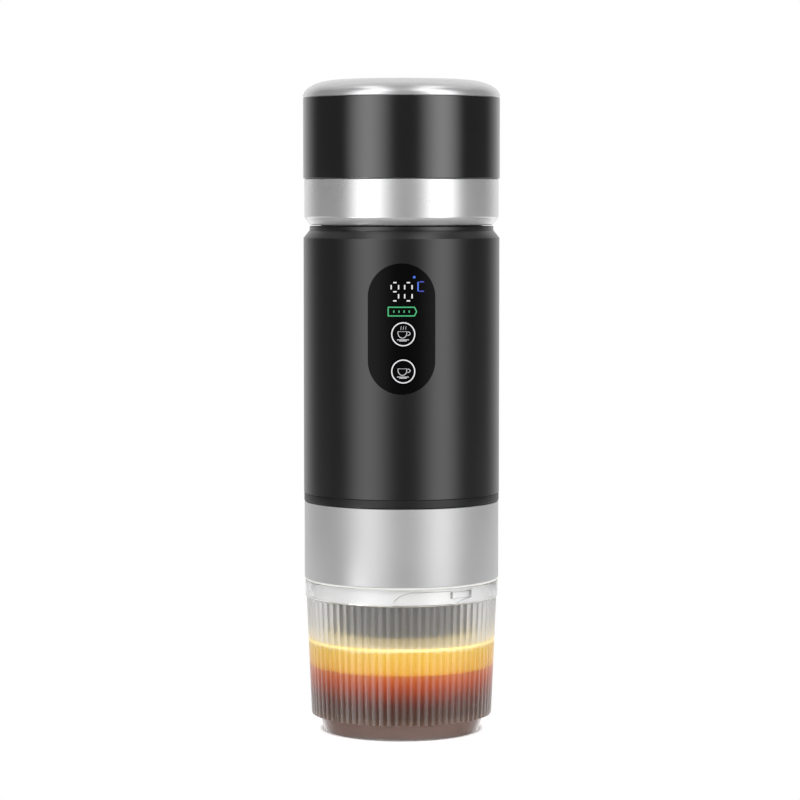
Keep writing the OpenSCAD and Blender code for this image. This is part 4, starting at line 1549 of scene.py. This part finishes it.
@dataclass
class Panel:
    """The dark window with its two buttons and the lit signs.

    Attributes:
        window: width and height of the window.
        depth: depth of the window's pane.
        button: radius of a button.
        button_gap: gap round a button.
        button_x: how far the buttons lie to the right.
        button_sink: how far a button's stem reaches into its flange.
        flange: how much wider than the button its flange is, and the flange's thickness.
        sign: thickness of a lit sign over the pane.
        line: width of the thinner lines on the display.
        digit: half width and half height of a digit between the middles of its bars.
        digit_x: places of the two digits along X.
        digit_lift: height of their middle over the window's.
        bar: length of a level bar, length of an upright one, and their width.
        degree_x: left and right end of the degree sign along X.
        degree_lift: its lower and upper end over the window's middle.
        arm_gap: gap between its stem and its arms.
        dot_x: left and right end of its dot along X.
        dot_lift: height of the dot over the sign's upper end.
        dot: width of the dot.
        battery_x: left and right end of the battery along X.
        battery_lift: its lower and upper edge over the window's middle.
        battery_tip: how far its tip stands out.
        charge_x: places of its four bars along X.
        charge: half height of one bar.
    """

    window: Point = (23.6, 46.0)
    depth: float = 3.3
    button: float = 4.7
    button_gap: float = 0.15
    button_x: float = 0.5
    button_sink: float = 0.4
    flange: Point = (1.6, 0.8)
    sign: float = 0.05
    line: float = 0.42
    digit: Point = (1.3, 3.2)
    digit_x: Point = (-2.34, 2.4)
    digit_lift: float = 13.15
    bar: tuple[float, float, float] = (1.65, 2.0, 0.46)
    degree_x: Point = (5.8, 7.9)
    degree_lift: Point = (13.3, 16.6)
    arm_gap: float = 0.45
    dot_x: Point = (4.05, 4.85)
    dot_lift: float = 1.65
    dot: float = 0.8
    battery_x: Point = (-4.7, 4.55)
    battery_lift: Point = (4.65, 7.7)
    battery_tip: float = 0.75
    charge_x: tuple[float, ...] = (-2.7, -0.9, 0.9, 2.7)
    charge: float = 0.4

    @property
    def radius(self) -> float:
        """The radius of the body, which the window follows."""
        return Span.of("body_shell").radius

    @property
    def lift(self) -> float:
        """The height of the window's middle."""
        return Span.of("panel_lens").middle

    @property
    def buttons(self) -> Point:
        """The heights of the heat and the brew button."""
        return Span.of("heat_button").middle, Span.of("brew_button").middle

    def pane(self, name: str, outline: Piece) -> Piece:
        """Cuts a piece of the round front by an outline.

        Args:
            name: the piece's name.
            outline: the bar along Y that it is cut to.

        Returns:
            The piece, curved as the body is.
        """
        low, high = (self.lift + side * self.window[1] for side in (-1, 1))
        blank = turned(name, disc(self.radius, low, high), 4 * SEGMENTS)
        return shape(blank, outline, Shape.TRIM)

    @property
    def faces(self) -> Point:
        """Where a tool for the pane starts along Y, past its front, and where the pane ends."""
        return -self.radius - PAST, -self.radius + self.depth

    def lens(self) -> Piece:
        """Makes the window's pane with its two button holes.

        Returns:
            The pane.
        """
        front, back = self.faces
        lens = self.pane("lens_pane", capsule(*self.window, (0, self.lift), front, back))
        hole = 2 * (self.button + self.button_gap)
        for height in self.buttons:
            shape(lens, capsule(hole, hole, (self.button_x, height), front, 0), Shape.CUT)
        return true_round(smooth(lens), self.radius)

    def key(self, name: str, height: float) -> Piece:
        """Makes one button with the flange that holds it behind the pane.

        Args:
            name: the button's name.
            height: the height of its middle.

        Returns:
            The button.
        """
        front, back = self.faces
        width, middle = 2 * self.button, (self.button_x, height)
        face = self.pane(name, capsule(width, width, middle, front, back + self.button_sink))
        wider, thickness = self.flange
        shape(face, capsule(width + wider, width + wider, middle, back, back + thickness), Shape.JOIN)
        return true_round(smooth(face), self.radius)

    def stroke(self, points: Sequence[Point], width: float, closed: bool = False) -> Piece:
        """Draws a line of even width on the flat window.

        Args:
            points: its points along X and Z.
            width: its width.
            closed: True if its end meets its start.

        Returns:
            The line as a mesh.
        """
        take()
        curve = bpy.data.curves.new("sign_line", "CURVE")
        curve.dimensions = "3D"
        curve.bevel_depth = width / 2 * MM
        curve.bevel_resolution = 2
        curve.use_fill_caps = True
        spline = curve.splines.new("POLY")
        spline.points.add(len(points) - 1)
        spline.use_cyclic_u = closed
        for place, (x, z) in zip(spline.points, points):
            place.co = (x * MM, 0, z * MM, 1)
        line = bpy.data.objects.new("sign_line", curve)
        bpy.context.scene.collection.objects.link(line)
        take(line)
        bpy.ops.object.convert(target="MESH")
        line = settle("sign_line")
        edit(line)
        bpy.ops.transform.resize(value=(1, 2 * self.sign / width, 1), center_override=(0, 0, 0))
        bpy.ops.object.mode_set(mode="OBJECT")
        return line

    def path(self, points: Sequence[Point], step: float = 0.35) -> list[Point]:
        """Puts further points on a path, so that it can follow the round front.

        Args:
            points: the path's corners.
            step: the longest edge that it may have.

        Returns:
            The path's points.
        """
        fine = [points[0]]
        for (x0, z0), (x1, z1) in zip(points, points[1:]):
            count = max(1, math.ceil(math.hypot(x1 - x0, z1 - z0) / step))
            fine += [(x0 + (x1 - x0) * i / count, z0 + (z1 - z0) * i / count) for i in range(1, count + 1)]
        return fine

    def arc(self, centre: Point, reach: Point, start: float, end: float, steps: int = 24) -> list[Point]:
        """Points of an elliptical arc between two angles in degrees."""
        angles = [math.radians(start + (end - start) * step / steps) for step in range(steps + 1)]
        return [(centre[0] + reach[0] * math.cos(a), centre[1] + reach[1] * math.sin(a)) for a in angles]

    def wrap(self, name: str, lines: Iterable[Piece]) -> Piece:
        """Joins flat lines into one sign and lays it on the round front.

        Args:
            name: the sign's name.
            lines: its lines.

        Returns:
            The sign.
        """
        sign = joined(name, lines)
        radius = self.radius * MM
        for vertex in sign.data.vertices:
            vertex.co.y -= math.sqrt(radius ** 2 - vertex.co.x ** 2)
        close_up(sign)
        return smooth(sign, angle=60)

    def digits(self) -> Piece:
        """Draws the two digits of the temperature.

        Returns:
            The digits.
        """
        level, upright, width = self.bar
        lift, lines = self.lift + self.digit_lift, []
        for x, bars in zip(self.digit_x, (NINE, ZERO)):
            for bar in bars:
                across, up = bar.value
                middle = (x + across * self.digit[0], lift + up * self.digit[1])
                flat = bar in (Segment.TOP, Segment.MIDDLE, Segment.FOOT)
                half = ((level if flat else upright) - width) / 2
                ends = [(-half, 0), (half, 0)] if flat else [(0, -half), (0, half)]
                lines.append(self.stroke(self.path([(middle[0] + a, middle[1] + b) for a, b in ends]), width))
        return self.wrap("sign_digits", lines)

    def degree(self) -> tuple[Piece, Piece]:
        """Draws the blue degree sign.

        Returns:
            Its dot and stem, and the two dimmer arms.
        """
        left, right = self.degree_x
        low, high = (self.lift + lift for lift in self.degree_lift)
        dot = self.stroke([(x, high + self.dot_lift) for x in self.dot_x], self.dot)
        stem = self.stroke(self.path([(left, low), (left, high)]), self.bar[2])
        arms = [self.stroke(self.path([(left + self.arm_gap, z), (right, z)]), self.line) for z in (low, high)]
        return self.wrap("sign_degree", [dot, stem]), self.wrap("sign_degree_arms", arms)

    def battery(self) -> Piece:
        """Draws the green battery with its four bars.

        Returns:
            The sign.
        """
        left, right = self.battery_x
        low, high = (self.lift + lift for lift in self.battery_lift)
        middle, tip = (low + high) / 2, right + self.battery_tip
        outline = self.path([(left, low), (right, low), (tip, middle), (right, high), (left, high), (left, low)])
        bars = [
            self.stroke([(x, middle - self.charge), (x, middle + self.charge)], self.line) for x in self.charge_x
        ]
        return self.wrap("sign_battery", [self.stroke(outline[:-1], self.line, closed=True), *bars])

    def cup_sign(self, name: str, height: float, steam: bool) -> tuple[Piece, Piece]:
        """Draws a ring round a small cup.

        Args:
            name: the sign's name.
            height: the height of the ring's middle.
            steam: True if steam rises from the cup.

        Returns:
            The ring and the cup.
        """
        x, ring_reach, ring_width = self.button_x + 0.1, (4.04, 4.04), 0.4
        circle = self.arc((x, height), ring_reach, 0, 360, steps=72)[:-1]
        brim, bowl_reach, cup_width = height + 0.95, (1.55, 1.75), 0.26
        round_part = self.arc((x - 0.3, height + 0.4), bowl_reach, 180, 360, steps=20)
        bowl = [(x - 1.85, brim), *round_part, (x + 1.25, brim)]
        handle = self.arc((x + 1.35, height + 0.25), (1.1, 0.65), 80, -85, steps=16)
        lines = [self.stroke(self.path(bowl), cup_width, closed=True), self.stroke(handle, cup_width)]
        saucer_x, saucer_width = x - 0.1, 0.3
        for half, drop in ((2.1, 1.95), (1.3, 2.35)):
            ends = [(saucer_x + side * half, height - drop) for side in (-1, 1)]
            lines.append(self.stroke(self.path(ends), saucer_width))
        steam_low, steam_rise, steam_lean, steam_swing, steam_width = height + 1.6, 0.15, 0.05, 0.1, 0.15
        for shift in (-1.0, -0.15, 0.7) if steam else ():
            wave = [
                (x + shift + steam_lean * step + steam_swing * math.sin(math.pi * step / 4),
                 steam_low + steam_rise * step)
                for step in range(9)
            ]
            lines.append(self.stroke(wave, steam_width))
        frame_ring = self.stroke(circle, ring_width, closed=True)
        return self.wrap(f"{name}_ring", [frame_ring]), self.wrap(f"{name}_cup", lines)

    def build(self, finish: Finishes) -> None:
        """Makes and dresses the window, the buttons and the signs.

        Args:
            finish: the materials by name.
        """
        dress(self.lens(), "body", "panel_gloss", finish["panel_gloss"], "panel_lens")
        dress(self.digits(), "body", "display", finish["lit_white"])
        for sign, colour in zip(self.degree(), ("lit_blue", "lit_violet")):
            dress(sign, "body", "display", finish[colour])
        dress(self.battery(), "body", "display", finish["lit_green"])
        for body, height in zip(("heat_button", "brew_button"), self.buttons):
            dress(self.key(f"{body}_key", height), body, "panel_gloss", finish["panel_gloss"], body)
            for sign, colour in zip(self.cup_sign(body, height, body == "heat_button"), ("lit_white", "lit_grey")):
                dress(sign, body, "display", finish[colour])


@dataclass
class Inside:
    """The working parts inside, which stay as their CAD solids and get their finishes."""

    def build(self, finish: Finishes) -> None:
        """Gives each CAD node that is still shown the finish of its slot.

        Args:
            finish: the materials by name.
        """
        slots = {part["node"]: part["material_slot"] for part in frame["record"]["subparts"]}
        for name, node in frame["nodes"].items():
            if node.hide_render:
                continue
            node.data.materials.clear()
            node.data.materials.append(finish[slots[name]])
            LOG.info("%s keeps its solid, finish %s", name, slots[name])


@dataclass
class Studio:
    """The pale floor, the soft lamps, the white surround and the camera.

    Attributes:
        distance: distance of the camera from the object's axis, in metres.
        height: height of the camera, in metres.
        pitch: angle by which it looks down, in degrees.
        shift: how far it stands to the left, in metres.
        lens: its focal length in millimetres.
        sensor: width of its sensor in millimetres.
        floor_size: radius of the floor and width of its outer ring, in metres.
        paint: the floor's linear colour.
        foot_ring: squares of the radii, in metres, between which the floor by the foot is lifted towards white.
        far_ring: squares of the radii between which it turns plain white to the camera.
        lifted: how far it is lifted by the foot.
        surround: level of the light from all round, before the object and behind it.
        sides: level of the light that is added from either side.
        mirrored: level that glossy surfaces mirror from all round, from before the object and from behind it.
        overhead: the same from above: all over, from the two soft boxes and from behind.
        table: the same from the table behind the object.
        below: the same from below.
    """

    distance: float = 1.089
    height: float = 0.194
    pitch: float = 3.874
    shift: float = 0.00054
    lens: float = 135.0
    sensor: float = 36.0
    floor_size: Point = (4.0, 3.4)
    paint: Colour = (0.85, 0.85, 0.85)
    foot_ring: Point = (0.00078, 0.00092)
    far_ring: Point = (0.0009, 0.0016)
    lifted: float = 0.6
    surround: Point = (0.12, 1.2)
    sides: float = 1.6
    mirrored: tuple[float, float, float] = (0.12, 0.03, 0.85)
    overhead: tuple[float, float, float] = (0.15, 2.0, 0.4)
    table: float = 1.5
    below: float = 0.42

    def camera(self) -> None:
        """Puts the camera where the photograph was taken from."""
        take()
        bpy.ops.object.camera_add(
            location=(-self.shift, -self.distance, self.height), rotation=(math.radians(90 - self.pitch), 0, 0)
        )
        camera = bpy.context.object
        camera.data.lens = self.lens
        camera.data.sensor_width = self.sensor
        bpy.context.scene.camera = camera

    def lamp(self, name: str, angle: float, radius: float, low: float, size: Point, level: float) -> None:
        """Hangs an upright strip lamp that faces the object.

        Args:
            name: the lamp's name.
            angle: its angle from the camera's side, in degrees, to the right when positive.
            radius: its distance from the axis, in metres.
            low: height of its lower edge, in metres.
            size: its width and height, in metres.
            level: how bright it looks, where 1 is plain white.
        """
        take()
        turn = math.radians(angle)
        bpy.ops.object.light_add(
            type="AREA", rotation=(math.pi / 2, 0, turn),
            location=(radius * math.sin(turn), -radius * math.cos(turn), low + size[1] / 2),
        )
        lamp = bpy.context.object
        lamp.name = name
        lamp.data.shape = "RECTANGLE"
        lamp.data.size, lamp.data.size_y = size
        lamp.data.energy = level * math.pi * size[0] * size[1]
        lamp.visible_camera = False
        shader = Shader(lamp.data)
        across, _, _ = shader.axes(shader.node("ShaderNodeNewGeometry", output="Parametric"))
        soft = across.step(0.0, 0.5) * (1 - across.step(0.5, 1.0))
        shader.done(shader.node("ShaderNodeEmission", inputs={"Strength": soft}))

    def rays(self, shader: Shader, *kinds: str) -> tuple[Level, ...]:
        """For each kind of ray, a level that is 1 where such a ray looks."""
        return tuple(shader.node("ShaderNodeLightPath", output=f"Is {kind} Ray") for kind in kinds)

    def floor(self) -> None:
        """Lays the pale floor, which keeps the object's shadow."""
        take()
        radius, outer_ring = self.floor_size
        bpy.ops.mesh.primitive_circle_add(vertices=SEGMENTS // 2, radius=radius, fill_type="NGON")
        floor = settle("floor")
        edit(floor)
        bpy.ops.mesh.inset(thickness=outer_ring)
        bpy.ops.object.mode_set(mode="OBJECT")
        shader = Shader(bpy.data.materials.new("pale_floor"))
        x, y, _ = shader.axes(shader.place())
        square = x * x + y * y
        camera, through = self.rays(shader, "Camera", "Transmission")
        seen = camera.high(through)
        paint = shader.node("ShaderNodeBsdfDiffuse", inputs={"Color": self.paint})
        lifted, white = (
            shader.node("ShaderNodeEmission", inputs={"Color": (1, 1, 1), "Strength": strength})
            for strength in (self.lifted * seen * square.step(*self.foot_ring), 1.0)
        )
        near = shader.node("ShaderNodeAddShader", inputs={0: paint, 1: lifted})
        far = seen * square.step(*self.far_ring)
        floor.data.materials.append(
            shader.done(shader.node("ShaderNodeMixShader", inputs={0: far, 1: near, 2: white}))
        )
        floor.visible_glossy = False

    def world(self) -> None:
        """Makes the surround: white to the camera, brighter behind the object than before it."""
        world = bpy.data.worlds.new("surround")
        bpy.context.scene.world = world
        shader = Shader(world)
        aside, back, up = shader.axes(shader.place("Generated"))
        camera, mirror, through = self.rays(shader, "Camera", "Glossy", "Transmission")
        aside = aside * aside
        ceiling, box, rear = self.overhead
        boxes = aside.step(0.005, 0.09) * (1 - aside.step(0.12, 0.26)) * (1 - back.step(0.1, 0.3))
        over = up.step(0.5, 0.8) * (ceiling + box * boxes + rear * back.step(0.06, 0.3))
        table = self.table * (1 - up.step(-0.22, -0.16)) * up.step(-0.4, -0.3) * back.step(-0.3, 0.4)
        around, front, behind = self.mirrored
        bright = around + front * (1 - back.step(-1.0, -0.1)) + behind * back.step(0.4, 0.95) + over
        bright = bright.high(table).high(self.below * (1 - up.step(-0.8, -0.3)))
        before, after = self.surround
        soft = before + (after - before) * back.step(-0.2, 1.0) + self.sides * aside.step(0.4, 1.0)
        clear = camera.high(through)
        level = clear + (1 - clear) * (mirror * bright + (1 - mirror) * soft)
        shader.done(shader.node("ShaderNodeBackground", inputs={"Color": (1, 1, 1), "Strength": level}))

    def build(self) -> None:
        """Sets up the whole studio."""
        bpy.context.scene.view_settings.view_transform = "Standard"
        self.camera()
        self.lamp("soft_left", angle=-38, radius=0.45, low=-0.2, size=(0.58, 0.95), level=2.4)
        self.lamp("soft_right", angle=46, radius=0.45, low=-0.2, size=(0.54, 0.95), level=2.6)
        self.lamp("glint_left", angle=-53, radius=0.4, low=-0.1, size=(0.26, 0.055), level=44.0)
        self.floor()
        self.world()


FINISHES = (
    Finish("silver_dome", srgb(206, 206, 207), 0.26, 0.7, turned=6.0),
    Finish("silver_ring", srgb(212, 212, 213), 0.28, 0.72, turned=6.0),
    Finish("silver_sleeve", srgb(186, 186, 187), 0.42, 0.48, turned=6.0),
    Finish("black_gloss", (0.003, 0.003, 0.0035), 0.18, specular=0.95),
    Finish("panel_gloss", (0.002, 0.002, 0.0023), 0.22, specular=0.07),
    Finish("black_satin", (0.004, 0.004, 0.0043), 0.3, specular=0.62),
    Finish("black_matt", (0.004, 0.004, 0.0043), 0.42, specular=0.4),
    Finish("dark_plastic", (0.02, 0.02, 0.021), 0.45),
    Finish("grey_plastic", srgb(86, 84, 81), 0.4),
    Finish("white_plastic", srgb(252, 252, 251), 0.35),
    # painted shade for the bevel along the skirt's track edge
    Finish("track_shade", srgb(150, 150, 148), 0.5),
    Finish("seal_rubber", srgb(236, 236, 234), 0.6),
    Finish("tube_silicone", srgb(228, 226, 220), 0.55),
    Finish("steel", srgb(190, 190, 192), 0.3, 1.0, turned=8.0),
    Finish("brass", srgb(200, 165, 90), 0.3, 1.0),
    Finish("heater_metal", srgb(176, 172, 166), 0.45, 1.0),
    Finish("motor_can", srgb(170, 170, 173), 0.35, 1.0, turned=8.0),
    Finish("cell_wrap", srgb(38, 130, 92), 0.35),
    Finish("board", srgb(24, 92, 46), 0.4),
    Finish("display", srgb(24, 25, 28), 0.3),
    ClearPlastic(
        "clear_plastic", tint=(0.95, 0.952, 0.955), roughness=0.12, reeded=0.3, collar=Cup.reed_high, gloss=0.5
    ),
    Brew(
        "coffee", low=Cup.floor - Cup.sunk, high=Cup.crema_low, roughness=0.4, painted_glow=0.12, painted_top_glow=0.12, froth=0.02,
        # the ramp paints light that soaks through the drink into its colour: orange-red towards the crema; it is
        # also paler at the foot
        stops=(
            (0.0, srgb(138, 112, 104)), (0.17, srgb(128, 100, 92)), (0.24, srgb(96, 66, 50)),
            (0.34, srgb(66, 37, 22)), (0.46, srgb(74, 33, 18)), (0.57, srgb(97, 33, 18)), (0.68, srgb(134, 50, 18)),
            (0.79, srgb(167, 63, 18)), (0.9, srgb(190, 86, 30)), (0.96, srgb(197, 101, 38)),
        ),
    ),
    # the crema's strong painted top glow lights its top, which the nose above shades
    Brew(
        "crema", low=Cup.crema_low, high=Cup.crema_high, roughness=0.5, painted_glow=0.15, painted_top_glow=0.75, froth=0.05,
        stops=(
            (0.0, srgb(224, 150, 46)), (0.15, srgb(232, 178, 62)), (0.8, srgb(236, 196, 80)),
            (0.89, srgb(248, 226, 156)), (0.95, srgb(248, 226, 156)), (0.99, srgb(238, 206, 104)),
        ),
    ),
    Light("lit_white", srgb(240, 240, 243)),
    Light("lit_grey", srgb(205, 205, 208)),
    Light("lit_blue", srgb(70, 122, 240)),
    Light("lit_violet", srgb(58, 70, 185)),
    Light("lit_green", srgb(60, 186, 118)),
)


def main() -> None:
    """Builds the studio, then the espresso maker piece by piece."""
    logging.basicConfig(level=logging.INFO, format="%(name)s: %(message)s")
    finish = {each.name: each.material() for each in FINISHES}
    studio, chamber = Studio(), Chamber()
    studio.build()
    Cap().build(finish)
    Body().build(finish)
    Panel().build(finish)
    chamber.build(finish)
    Cup().build(finish, chamber)
    Inside().build(finish)
    take()


if __name__ == "__main__":
    main()
